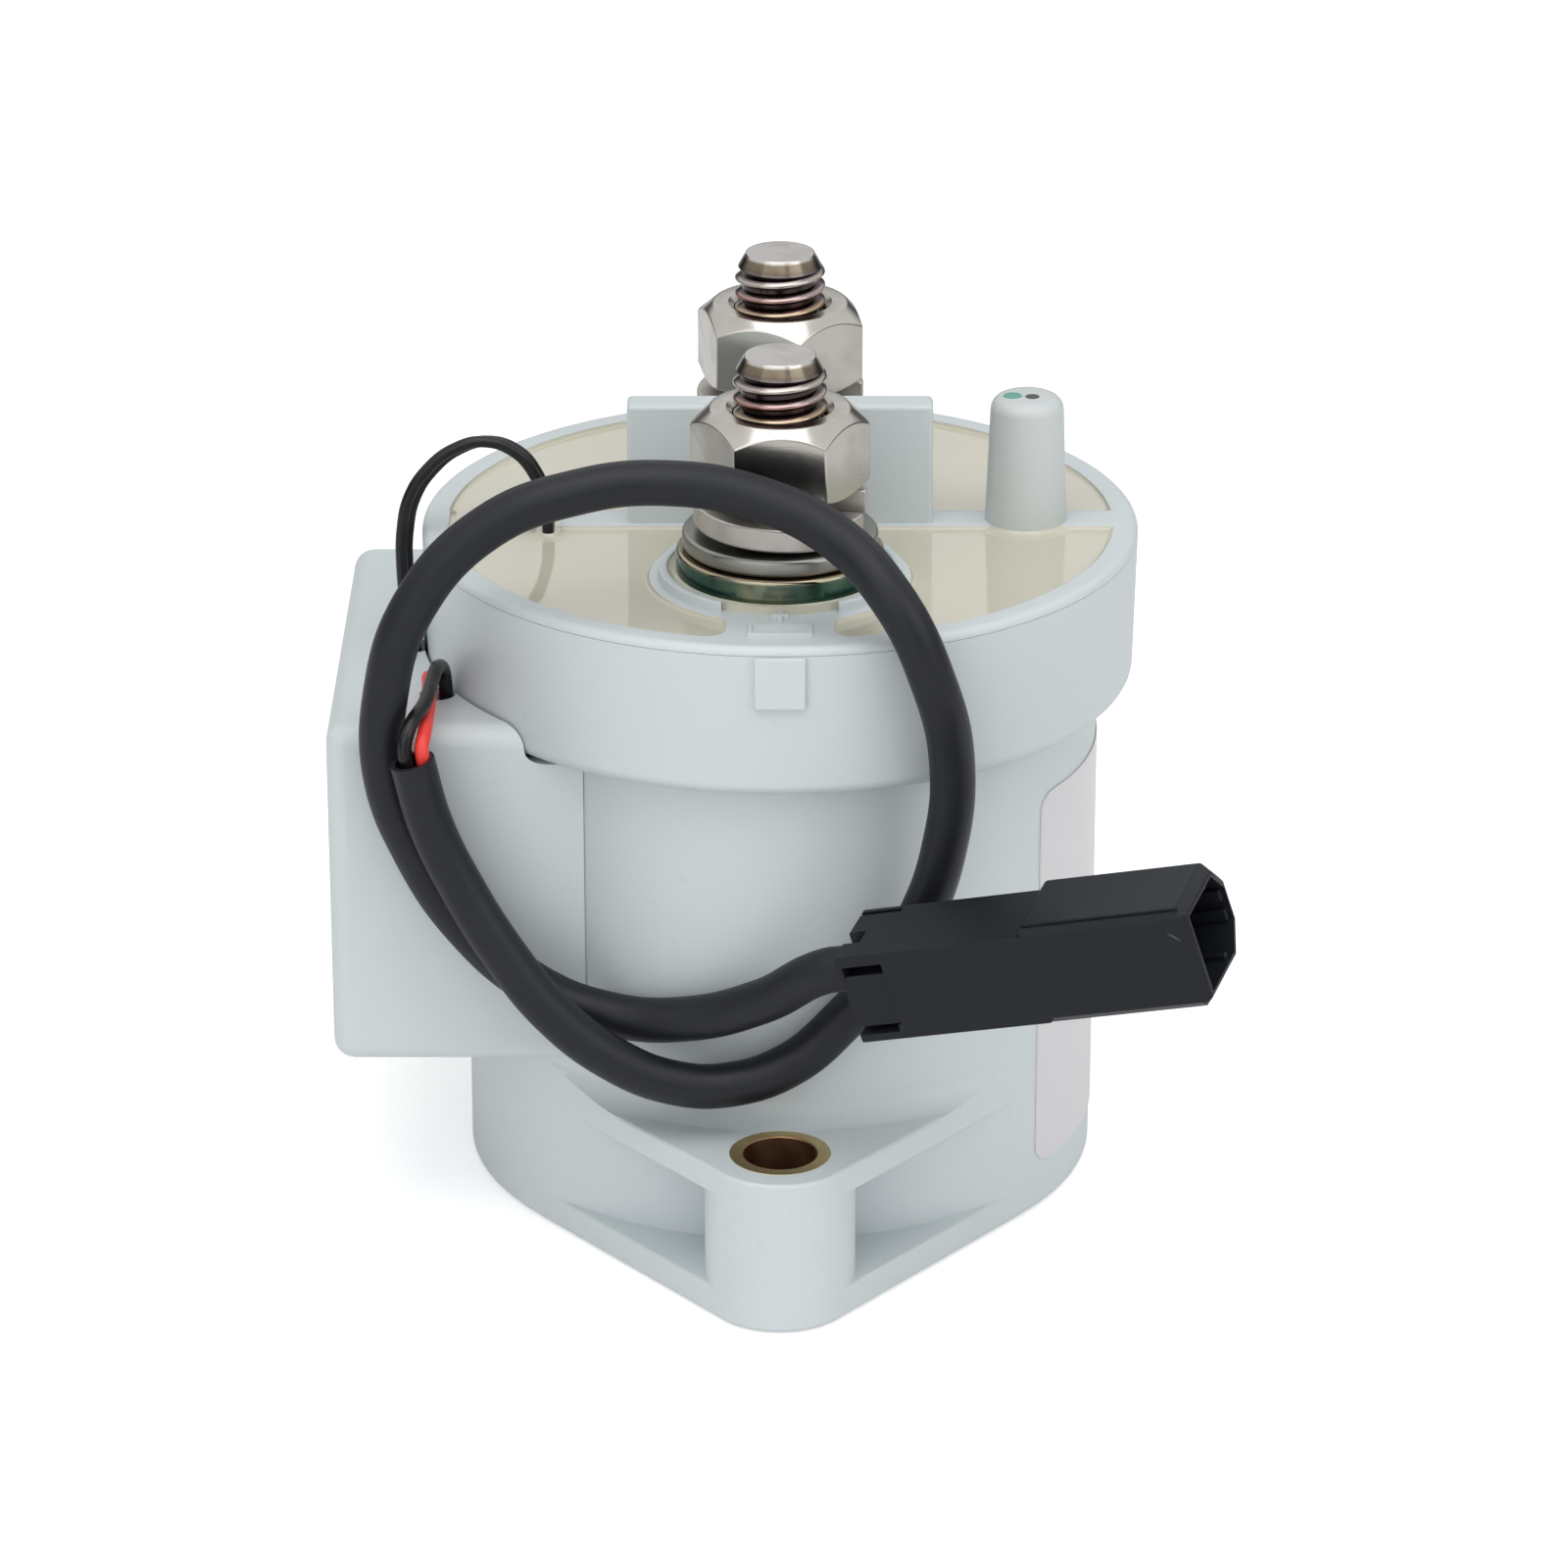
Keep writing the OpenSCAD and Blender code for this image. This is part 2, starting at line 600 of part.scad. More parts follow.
// Plan of the cover's ribs, rings and webs, grown all round by a gap
module frame_plan(gap) {
    square([2 * cover_in_r, rib_w + 2 * gap], center = true);
    for (side = [-1, 1]) {
        translate([0, side * stud_y]) circle(ring_r + gap);
        mirror([0, side < 0 ? 1 : 0]) translate([-web_w / 2 - gap, stud_y])
            square([web_w + 2 * gap, cover_in_r - stud_y]);
        web_corners(side);
    }
}

module ring_edge(side) translate([0, side * stud_y, 0]) difference() {
    ring(ring_in_r, ring_in_r + ring_edge_t, frame_z, rim_z + ring_edge_h);
    translate([-ring_gap / 2, side < 0 ? -ring_r : 0, rim_z]) cube([ring_gap, ring_r, ring_edge_h + past]);
}

module top_cover() color([0.82, 0.85, 0.86]) difference() {
    union() {
        rotate_extrude() polygon(concat(
            [[cover_in_r, rim_z], [cover_in_r, seam_z - skirt_h], [collar_in_r - fit, seam_z - skirt_h],
                [collar_in_r - fit, seam_z], [collar_r, seam_z]],
            arc([collar_r - lip_t / 2, rim_z - lip_t / 2], lip_t / 2, 0, 90, 4)));
        translate([0, 0, frame_z]) linear_extrude(frame_depth) intersection() {
            frame_plan(0);
            circle(cover_in_r + rim_w / 4);
        }
        translate([0, 0, frame_z]) linear_extrude(frame_depth + barrier_h)
            rounded_rect(-barrier_l / 2, -barrier_t / 2, barrier_l / 2, barrier_t / 2, barrier_t / 5);
        for (side = [-1, 1]) ring_edge(side);
    }
    at_studs() translate([0, 0, frame_z - past])
        cylinder(r = ring_in_r, h = frame_depth + ring_edge_h + 2 * past);
    translate([cap_x, 0, frame_z - past]) cylinder(r = tube_r + fit, h = frame_depth + 2 * past);
}

module potting() color([0.85, 0.83, 0.76]) difference() {
    union() {
        difference() {
            translate([0, 0, potting_z]) cylinder(r = cover_in_r - fit, h = pool_z - potting_z);
            translate([0, 0, frame_z - fit]) linear_extrude(frame_depth) frame_plan(fit);
        }
        at_studs() translate([0, 0, potting_z]) cylinder(r = ring_in_r - fit, h = ring_pool_z - potting_z);
    }
    at_studs() {
        translate([0, 0, potting_z - past]) cylinder(d = shank_d + 2 * fit, h = potting_depth + past);
        translate([0, 0, seat_z - fit]) cylinder(r = seat_r + fit, h = seat_t);
    }
    translate([cap_x, 0, potting_z - past]) cylinder(r = tube_r + fit, h = potting_depth + past);
    translate([cap_x, 0, cap_z - fit]) cylinder(d = cap_base_d + 2 * fit, h = cap_sunk + past);
}

// Moulded cap over the pinched tube, notched to straddle the cross rib
module tube_cap() color([0.76, 0.79, 0.80]) translate([cap_x, 0, 0]) difference() {
    rotate_extrude() polygon(concat(
        [[0, cap_z], [cap_base_d / 2, cap_z], [cap_base_d / 2, rim_z]],
        arc([cap_top_d / 2 - cap_round, rim_z + cap_h - cap_round], cap_round, 0, 90),
        [[0, rim_z + cap_h]]));
    translate([-cap_base_d, -rib_w / 2 - fit, cap_z - past])
        cube([2 * cap_base_d, rib_w + 2 * fit, rim_z + fit - cap_z + past]);
    translate([0, 0, cap_z]) cylinder(r = tube_r + fit, h = tube_top + 2 * fit - cap_z);
}

module flat_washer(side) color([0.62, 0.61, 0.58]) translate([0, side * stud_y, 0])
    ring(washer_hole_r, washer_d / 2, seat_top, seat_top + washer_t);
module flat_washer_front() flat_washer(-1);
module flat_washer_rear() flat_washer(1);

// Split spring washer: a flat strip wound once, rising by its free height
module spring_washer(side) color([0.60, 0.59, 0.57]) translate([0, side * stud_y, 0]) {
    steps = 48;
    split = 8;
    rise = spring_washer_free - spring_washer_t;
    r_in = washer_hole_r - 0.1;
    r_out = spring_washer_d / 2;
    points = [for (i = [0 : steps])
        let (a = -12 - split / 2 - (360 - split) * i / steps, z = spring_washer_z + rise * i / steps)
        each [on_circle(r_in, a, z), on_circle(r_out, a, z),
            on_circle(r_out, a, z + spring_washer_t), on_circle(r_in, a, z + spring_washer_t)]];
    walls = [for (i = [0 : steps - 1], k = [0 : 3])
        let (a = 4 * i + k, b = 4 * i + (k + 1) % 4)
        each [[a, b, b + 4], [a, b + 4, a + 4]]];
    polyhedron(points, concat(walls, [[3, 2, 1, 0]], [[for (k = [0 : 3]) 4 * steps + k]]));
}
module spring_washer_front() spring_washer(-1);
module spring_washer_rear() spring_washer(1);

// Hexagon nut with both ends chamfered, the upper one more
module nut(side, turn) color([0.70, 0.69, 0.66]) translate([0, side * stud_y, nut_z]) difference() {
    corner_r = nut_af / sqrt(3);
    foot_r = 0.94 * nut_af / 2;
    crown_r = 0.89 * nut_af / 2;
    foot = (corner_r + past - foot_r) * tan(30);
    crown = (corner_r + past - crown_r) * tan(43);
    intersection() {
        rotate(turn) cylinder(r = corner_r, h = nut_h, $fn = 6);
        rotate_extrude() polygon([[0, 0], [foot_r, 0], [corner_r + past, foot],
            [corner_r + past, nut_h - crown], [crown_r, nut_h], [0, nut_h]]);
    }
    translate([0, 0, -past]) cylinder(r = stud_r + fit, h = nut_h + 2 * past);
}
module nut_front() nut(-1, 0);
module nut_rear() nut(1, rear_nut_turn);

// Side box with the coil's economizer electronics

module side_box() color([0.82, 0.85, 0.86]) difference() {
    intersection() {
        translate([0, 0, box_z]) linear_extrude(box_h)
            rounded_rect(-box_reach, -box_w / 2, box_inner_x + 2 * box_round, box_w / 2, box_round);
        along_x(-box_reach, box_inner_x) rounded_rect(-box_w / 2, box_z, box_w / 2, box_top, box_round);
        translate([0, box_w, 0]) rotate([90, 0, 0]) linear_extrude(2 * box_w)
            rounded_rect(-box_reach, box_z, box_inner_x + 2 * box_round, box_top, box_round);
    }
    translate([-box_reach + box_wall, -box_w / 2 + box_wall, box_z + box_wall])
        cube([box_reach, box_w - 2 * box_wall, box_h - 2 * box_wall]);
    cylinder(r = body_r + fit, h = rim_z);
    rotate_extrude() polygon(concat([[0, collar_z - box_gap]],
        arc([collar_low_r - collar_round, collar_z + collar_round], collar_round + box_gap, 270, 360),
        [[collar_r + box_gap, rim_z], [0, rim_z]]));
    for (notch = [coil_notch, lead_notch])
        translate(notch - [0, 0, 2 * box_wall]) cylinder(r = notch_r, h = 3 * box_wall);
}

module circuit_board() color([0.10, 0.32, 0.18])
    translate([board_x, -box_w / 2 + box_wall + 0.3, box_z + box_wall + fit])
        cube([board_t, box_w - 2 * box_wall - 0.6, box_h - 2 * box_wall - 2 * fit]);

// Choke, capacitor, switching transistor, small parts and terminal block on the board's inner side
module board_components() color([0.20, 0.20, 0.22]) {
    choke_r = box_w / 9;
    capacitor_r = box_w / 14;
    chip = box_w / 27;
    block_w = 4.4 * lead_pitch;
    block_h = 4 * lead_d;
    translate([board_face, box_w / 5, board_mid_z - box_h / 6]) rotate([0, 90, 0]) difference() {
        cylinder(r = choke_r, h = 0.55 * board_room);
        translate([0, 0, -past]) cylinder(r = choke_r / 2, h = board_room + past);
    }
    translate([board_face, -box_w / 4, board_mid_z - box_h / 4]) rotate([0, 90, 0])
        cylinder(r = capacitor_r, h = 0.75 * board_room);
    translate([board_face, box_w / 10, board_mid_z + box_h / 10])
        cube([0.4 * board_room, box_w / 5, box_h / 5]);
    for (i = [-1 : 1]) translate([board_face, (2 * i - 2) * chip, board_mid_z - chip])
        cube([0.12 * board_room, chip, 2 * chip]);
    translate([board_face, lead_notch.y - block_w / 2, box_top - lead_drop - block_h - fit])
        cube([lead_notch.x + lead_pitch + lead_d - board_face, block_w, block_h]);
}

// Bare label that follows the body's curve
module blank_label() color([0.86, 0.86, 0.87]) {
    half = body_r * sin(label_w / 2 / body_r * 180 / PI);
    intersection() {
        ring(body_r + fit / 2, body_r + label_t, 0, collar_z);
        along_x(0, body_d) rounded_rect(-half, label_z, half, label_z + label_h, label_corner);
    }
}

// Wires, sleeve and connector

module coil_lead(y, spread) color([0.13, 0.13, 0.14]) {
    last = len(coil_lead_route) - 1;
    route = [for (i = [0 : last])
        coil_lead_route[i] + [0, coil_notch.y + y, 0] + sin(180 * i / last) * spread];
    swept(route, coil_lead_d / 2, 8, [0, 1, 0]);
}
module coil_lead_a() coil_lead(-coil_lead_pitch / 2, coil_lead_spread);
module coil_lead_b() coil_lead(coil_lead_pitch / 2, [0, 0, 0]);

// Supply lead from the terminal block to the sleeve, and its stub between sleeve and connector
module lead(side) {
    last = len(lead_route) - 1;
    route = [for (i = [0 : last])
        let (t = unit(lead_route[min(i + 1, last)] - lead_route[max(i - 1, 0)]),
            out = unit([0, t.z, -t.y]))
        lead_route[i] - side * lead_pitch / 2 * (cos(lead_turn[i]) * [1, 0, 0] + sin(lead_turn[i]) * out)];
    swept(route, lead_d / 2, 8, [1, 0, 0]);
    stub = [for (x = [lead_stub - fit, lead_stub / 2, fit]) [-connector_l - x, side * lead_pitch / 2, 0]];
    at_connector() swept(stub, lead_d / 2, 8, [0, 0, 1]);
}
module lead_red() color([0.80, 0.10, 0.10]) lead(1);
module lead_black() color([0.13, 0.13, 0.14]) lead(-1);

module sleeve() color([0.16, 0.17, 0.19]) swept(sleeve_route, sleeve_d / 2, 10, [0, 1, 0]);

// Places a piece that is drawn with the connector's mouth at the origin, facing +X
module at_connector() translate(connector_mouth) rotate(connector_turn) children();

module connector_plan(inset, low, high, chamfer) {
    near = -connector_w / 2 + inset;
    far = connector_w / 2 - inset;
    polygon([[near, low], [far - chamfer.x, low], [far, low + chamfer.y],
        [far, high - chamfer.y], [far - chamfer.x, high], [near, high]]);
}

// Socket housing; slits in its back free a latch tongue on the near side and one on top
module connector_housing() color([0.14, 0.15, 0.17]) at_connector() difference() {
    half = connector_h / 2;
    slit = 0.5;
    slit_l = 3.8;
    back = -connector_l - past;
    near = -connector_w / 2 - past;
    union() {
        along_x(-hood_l, 0) connector_plan(0, -half, half, key_chamfer);
        along_x(-connector_l, -hood_l)
            connector_plan(0.2, -half + hood_step_low, half - hood_step, key_chamfer);
    }
    along_x(-socket_l, past)
        connector_plan(hood_wall, -half + hood_wall, half - hood_wall, key_chamfer - [0.5, 0.5]);
    for (side = [-1, 1]) translate([-connector_l, side * pin_pitch / 2, 0]) rotate([0, 90, 0])
        cylinder(r = pin_r + fit, h = connector_l - socket_l + past);
    along_x(back, -connector_l + retainer_l) retainer_plan(0);
    for (low = [0.22 * connector_h, -0.3 * connector_h])
        translate([back, near, low]) cube([slit_l + past, connector_w * 0.2 + past, slit]);
    translate([back, 0.2 * connector_w, 0]) cube([slit_l + past, slit, connector_h]);
}

// Section of the retainer and, without a gap, of the pocket that holds it
module retainer_plan(gap) square([0.7, 0.6] * connector_h - 2 * [gap, gap], center = true);

// Retainer pushed into the housing's back, which keeps the contacts in place
module connector_retainer() color([0.13, 0.14, 0.16]) at_connector()
    along_x(-connector_l, -connector_l + retainer_l - fit) retainer_plan(fit);

module connector_pins() color([0.80, 0.74, 0.55]) at_connector()
    for (side = [-1, 1]) translate([-connector_l + retainer_l, side * pin_pitch / 2, 0])
        rotate([0, 90, 0]) cylinder(r = pin_r, h = connector_l - retainer_l - socket_l + pin_l);

housing();
bush_front();
bush_rear();
yoke_cup();
coil_bobbin();
coil_winding();
guide_tube();
plunger();
shaft();
return_spring();
fixed_core();
top_plate();
spring_seat();
contact_spring();
contact_bridge();
contact_tips();
retaining_clip();
arc_chamber();
magnet_left();
magnet_right();
evacuation_tube();
stud_front();
stud_rear();
top_cover();
potting();
tube_cap();
flat_washer_front();
flat_washer_rear();
spring_washer_front();
spring_washer_rear();
nut_front();
nut_rear();
side_box();
circuit_board();
board_components();
blank_label();
coil_lead_a();
coil_lead_b();
lead_red();
lead_black();
sleeve();
connector_housing();
connector_retainer();
connector_pins();
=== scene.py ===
import bpy
import math
from mathutils import Euler, Matrix, Vector


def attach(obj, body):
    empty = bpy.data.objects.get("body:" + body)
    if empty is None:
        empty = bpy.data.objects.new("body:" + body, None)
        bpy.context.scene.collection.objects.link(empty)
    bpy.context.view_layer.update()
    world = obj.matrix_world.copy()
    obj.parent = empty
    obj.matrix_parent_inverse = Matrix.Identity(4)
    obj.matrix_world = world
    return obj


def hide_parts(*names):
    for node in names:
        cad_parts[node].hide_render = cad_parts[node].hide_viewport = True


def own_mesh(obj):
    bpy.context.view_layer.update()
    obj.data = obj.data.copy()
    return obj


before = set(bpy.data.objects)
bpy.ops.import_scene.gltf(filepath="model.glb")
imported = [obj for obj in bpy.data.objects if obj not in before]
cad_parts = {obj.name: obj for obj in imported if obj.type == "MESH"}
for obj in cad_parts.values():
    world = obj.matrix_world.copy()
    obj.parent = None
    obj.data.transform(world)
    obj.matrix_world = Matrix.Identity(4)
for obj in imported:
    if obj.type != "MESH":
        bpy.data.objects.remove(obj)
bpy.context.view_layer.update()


# Housing: the pale moulded cup with its wider collar and the two mounting ears.
# Glass-filled plastic, injection moulded in one piece and screwed down by the ears.
# It is drawn in millimetres, as every rigid piece here, and shrunk to metres at the end.
MM = 0.001
FULL_TURN = 2 * math.pi


def select_only(obj):
    bpy.ops.object.select_all(action="DESELECT")
    obj.select_set(True)
    bpy.context.view_layer.objects.active = obj


def draw_line(name, points):
    """A chain of edges, extruded point by point from one corner; it is left in edit mode."""
    bpy.ops.object.select_all(action="DESELECT")
    bpy.ops.mesh.primitive_plane_add(size=1)
    obj = bpy.context.object
    obj.name = obj.data.name = name
    bpy.ops.object.mode_set(mode="EDIT")
    bpy.ops.mesh.select_mode(type="VERT")
    bpy.ops.mesh.select_all(action="SELECT")
    bpy.ops.mesh.merge(type="CENTER")
    bpy.ops.transform.translate(value=points[0])
    for a, b in zip(points, points[1:]):
        bpy.ops.mesh.extrude_region_move(TRANSFORM_OT_translate={"value": Vector(b) - Vector(a)})
    return obj


def arc(centre, radius, start, end, steps):
    """Points round a centre from one angle to another, in degrees."""
    angles = [math.radians(start + (end - start) * i / steps) for i in range(steps + 1)]
    return [(centre[0] + radius * math.cos(a), centre[1] + radius * math.sin(a)) for a in angles]


def round_corners(corners, closed, steps=5):
    """The points of a section whose corners (a, b, radius) are rounded off."""
    points = []
    for i, corner in enumerate(corners):
        at_end = i in (0, len(corners) - 1) and not closed
        if len(corner) < 3 or at_end:
            points.append(tuple(corner[:2]))
            continue
        here = Vector(corner[:2])
        back = (Vector(corners[i - 1][:2]) - here).normalized()
        ahead = (Vector(corners[(i + 1) % len(corners)][:2]) - here).normalized()
        half = back.angle(ahead) / 2
        centre = here + (back + ahead).normalized() * corner[2] / math.sin(half)
        first = here + back * corner[2] / math.tan(half) - centre
        last = here + ahead * corner[2] / math.tan(half) - centre
        turn = math.atan2(first.x * last.y - first.y * last.x, first.dot(last))
        a0 = math.degrees(math.atan2(first.y, first.x))
        points += arc(centre, corner[2], a0, a0 + math.degrees(turn), steps)
    return points


def close_up(obj):
    """Merges doubles, turns the faces outwards and leaves edit mode."""
    bpy.ops.mesh.select_all(action="SELECT")
    bpy.ops.mesh.remove_doubles(threshold=1e-4)
    bpy.ops.mesh.normals_make_consistent(inside=False)
    bpy.ops.object.mode_set(mode="OBJECT")
    return obj


def lathe(name, section, centre=(0, 0), closed=False, steps=128):
    """A section of (radius, height, rounding) corners spun about an upright axis."""
    points = round_corners(section, closed)
    if closed:
        points.append(points[0])
    obj = draw_line(name, [(centre[0] + r, centre[1], z) for r, z in points])
    bpy.ops.mesh.select_all(action="SELECT")
    bpy.ops.mesh.spin(steps=steps, angle=FULL_TURN, center=(*centre, 0), axis=(0, 0, 1))
    return close_up(obj)


def extruded(name, outline, move):
    """A flat outline filled and extruded."""
    obj = draw_line(name, outline)
    bpy.ops.mesh.select_all(action="SELECT")
    bpy.ops.mesh.edge_face_add()
    bpy.ops.mesh.extrude_region_move(TRANSFORM_OT_translate={"value": move})
    return close_up(obj)


def prism(name, plan, z0, z1):
    """A plan outline extruded upwards."""
    return extruded(name, [(x, y, z0) for x, y in plan], (0, 0, z1 - z0))


def use_modifier(obj, kind, **values):
    select_only(obj)
    modifier = obj.modifiers.new(kind, kind)
    for key, value in values.items():
        setattr(modifier, key, value)
    bpy.ops.object.modifier_apply(modifier=modifier.name)
    return obj


def soften(obj, width, steps=3, angle=40, **values):
    """Rounds every edge that is sharper than an angle."""
    return use_modifier(obj, "BEVEL", width=width, segments=steps, limit_method="ANGLE",
                        angle_limit=math.radians(angle), **values)


def block(name, low, high, edge=0.0, steps=3):
    """A box between two corners with rounded edges."""
    bpy.ops.object.select_all(action="DESELECT")
    bpy.ops.mesh.primitive_cube_add(size=1, location=[(a + b) / 2 for a, b in zip(low, high)])
    obj = bpy.context.object
    obj.name = obj.data.name = name
    obj.scale = [b - a for a, b in zip(low, high)]
    bpy.ops.object.transform_apply()
    return soften(obj, edge, steps) if edge else obj


def carve(obj, tool, operation="DIFFERENCE"):
    """Cuts a tool shape away, or joins or keeps what it shares, and removes the tool."""
    use_modifier(obj, "BOOLEAN", operation=operation, solver="EXACT", object=tool)
    bpy.data.objects.remove(tool)
    return obj


def slice_off(obj, *planes):
    """Cuts a mesh along planes of (point, outward), drops what lies outward and fills the cuts."""
    select_only(obj)
    bpy.ops.object.mode_set(mode="EDIT")
    for point, outward in planes:
        bpy.ops.mesh.select_all(action="SELECT")
        bpy.ops.mesh.bisect(plane_co=point, plane_no=outward, use_fill=True, clear_outer=True)
    return close_up(obj)


def pick_edges(obj, test):
    """Goes into edit mode with those edges selected whose two ends pass a test."""
    select_only(obj)
    bpy.ops.object.mode_set(mode="EDIT")
    bpy.ops.mesh.select_mode(type="EDGE")
    bpy.ops.mesh.select_all(action="DESELECT")
    bpy.ops.mesh.edges_select_sharp(sharpness=math.radians(50))
    bpy.ops.object.mode_set(mode="OBJECT")
    for edge in obj.data.edges:
        edge.select = edge.select and all(test(obj.data.vertices[i].co) for i in edge.vertices)
    bpy.ops.object.mode_set(mode="EDIT")


def round_picked(width, steps=3):
    bpy.ops.mesh.bevel(offset=width, segments=steps, affect="EDGES")
    bpy.ops.object.mode_set(mode="OBJECT")


def copy_of(obj, name, move=(0, 0, 0), mirror_y=False, turn_z=0.0):
    """A copy with a mesh of its own, moved, turned or mirrored front to back."""
    select_only(obj)
    bpy.ops.object.duplicate()
    twin = bpy.context.object
    twin.name = twin.data.name = name
    twin.location = move
    twin.rotation_euler = (0, 0, math.radians(turn_z))
    if mirror_y:
        twin.scale = (1, -1, 1)
    bpy.ops.object.transform_apply()
    if mirror_y:
        bpy.ops.object.mode_set(mode="EDIT")
        close_up(twin)
    return twin


def finish_piece(obj, material, slot, *nodes, sharp=32, body="frame"):
    """Shrinks a piece to metres, smooths it, and puts it in place of its CAD nodes."""
    select_only(obj)
    obj.scale = (MM, MM, MM)
    bpy.ops.object.transform_apply()
    bpy.ops.object.shade_smooth_by_angle(angle=math.radians(sharp))
    use_modifier(obj, "WEIGHTED_NORMAL", mode="FACE_AREA", weight=50, keep_sharp=True)
    obj.data.materials.clear()
    obj.data.materials.append(material)
    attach(obj, body)
    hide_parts(*nodes)
    return obj


def new_material(name):
    """A material with its node tree and its Principled shader."""
    material = bpy.data.materials.new(name)
    material.use_nodes = True
    tree = material.node_tree
    return material, tree, tree.nodes["Principled BSDF"]


def new_group(name, inputs, outputs):
    """A shader node group with named sockets: (name, type, default)."""
    tree = bpy.data.node_groups.new(name, "ShaderNodeTree")
    for label, kind, value in inputs:
        socket = tree.interface.new_socket(label, in_out="INPUT", socket_type=kind)
        if value is not None:
            socket.default_value = value
    for label, kind in outputs:
        tree.interface.new_socket(label, in_out="OUTPUT", socket_type=kind)
    return tree, tree.nodes.new("NodeGroupInput"), tree.nodes.new("NodeGroupOutput")


def set_inputs(tree, node, values):
    """Links a node's inputs to sockets, or sets them to plain values."""
    for key, value in values.items():
        if isinstance(value, bpy.types.NodeSocket):
            tree.links.new(value, node.inputs[key])
        else:
            node.inputs[key].default_value = value


def add_node(tree, kind, inputs=None, **values):
    """A node with its own values and its inputs set."""
    node = tree.nodes.new(kind)
    for key, value in values.items():
        setattr(node, key, value)
    set_inputs(tree, node, inputs or {})
    return node


def calc(tree, operation, first, second):
    """One step of arithmetic."""
    return add_node(tree, "ShaderNodeMath", {0: first, 1: second}, operation=operation).outputs[0]


def remap(tree, value, low, high, to_low=0.0, to_high=1.0):
    """A value taken from one range to another and held there."""
    return add_node(tree, "ShaderNodeMapRange", {"Value": value, "From Min": low, "From Max": high,
                                                 "To Min": to_low, "To Max": to_high}).outputs["Result"]


def noise(tree, place, scale, detail):
    return add_node(tree, "ShaderNodeTexNoise",
                    {"Vector": place, "Scale": scale, "Detail": detail}).outputs["Fac"]


def mix_colours(tree, share, first, second):
    """The first colour where the share is 0, the second where it is 1."""
    return add_node(tree, "ShaderNodeMix", {0: share, 6: first, 7: second}, data_type="RGBA").outputs[2]


# The grain of a spark-eroded mould: a fine pebble, a slow drift of tone and a few dark specks.
DRIFT_SCALE, SPECK_SCALE, SPECK_TONE = 55.0, 900.0, (0.16, 0.16, 0.17, 1)
grain, grain_in, grain_out = new_group(
    "moulded_grain",
    [("Colour", "NodeSocketColor", (0.6, 0.6, 0.6, 1)), ("Drift", "NodeSocketFloat", 0.05),
     ("Specks", "NodeSocketFloat", 0.2), ("Pebble", "NodeSocketFloat", 4000.0),
     ("Roughness", "NodeSocketFloat", 0.45)],
    [("Colour", "NodeSocketColor"), ("Roughness", "NodeSocketFloat"), ("Height", "NodeSocketFloat")])
place = add_node(grain, "ShaderNodeTexCoord").outputs["Object"]
asked = grain_in.outputs
swing = calc(grain, "SUBTRACT", noise(grain, place, DRIFT_SCALE, 3.0), 0.5)
swing = calc(grain, "MULTIPLY", swing, asked["Drift"])
speck_mask = remap(grain, noise(grain, place, SPECK_SCALE, 1.0), 0.70, 0.80)
speck_share = calc(grain, "MULTIPLY", speck_mask, asked["Specks"])
toned = add_node(grain, "ShaderNodeVectorMath",
                 {0: asked["Colour"], "Scale": calc(grain, "ADD", swing, 1.0)}, operation="SCALE")
set_inputs(grain, grain_out, {
    "Colour": mix_colours(grain, speck_share, toned.outputs[0], SPECK_TONE),
    "Roughness": calc(grain, "ADD", asked["Roughness"], calc(grain, "MULTIPLY", swing, 1.2)),
    "Height": noise(grain, place, asked["Pebble"], 2.0)})


def feed(tree, shader, group, bump, depth, others):
    """Feeds a group's colour, roughness and relief to the shader, and sets its other inputs."""
    relief = add_node(tree, "ShaderNodeBump",
                      {"Height": group.outputs["Height"], "Strength": bump, "Distance": depth})
    set_inputs(tree, shader, {"Base Color": group.outputs["Colour"], "Roughness": group.outputs["Roughness"],
                              "Normal": relief.outputs["Normal"], **others})


def moulded(name, colour, drift, specks, pebble, roughness, bump, specular=0.5, depth=0.00005):
    """A moulded plastic: the grain group in front of a plain shader."""
    material, tree, shader = new_material(name)
    group = add_node(tree, "ShaderNodeGroup", {"Colour": (*colour, 1), "Drift": drift, "Specks": specks,
                                               "Pebble": pebble, "Roughness": roughness}, node_tree=grain)
    feed(tree, shader, group, bump, depth, {"Specular IOR Level": specular})
    return material


pale_plastic = moulded("pale_housing_plastic", (0.60, 0.655, 0.672), 0.05, 0.05, 5200.0, 0.46, 0.25)

BODY_R, BOSS_R, EAR_Y, EAR_H = 27.3, 6.3, 33.25, 13.6
EAR_TOP_T, EAR_LOW_T, EDGE, FILLET = 2.4, 2.6, 0.35, 2.4
COLLAR_R, COLLAR_Z, SEAM_Z, RIM_Z = 30.6, 44.4, 57.0, 57.8
COLLAR_IN_R, LEDGE_Z, CUP_IN_R, FLOOR_T = 29.4, 46.4, 25.3, 2.5
SINK = 0.03    # how deep a joined shape starts inside its neighbour
housing = lathe("housing", [
    (0, 0), (BODY_R, 0, 0.5), (BODY_R, COLLAR_Z, 0.5), (COLLAR_R - 0.3, COLLAR_Z, 1.2), (COLLAR_R, SEAM_Z, 0.05),
    (COLLAR_IN_R, SEAM_Z), (COLLAR_IN_R, LEDGE_Z), (CUP_IN_R, LEDGE_Z), (CUP_IN_R, FLOOR_T), (0, FLOOR_T)],
    steps=160)

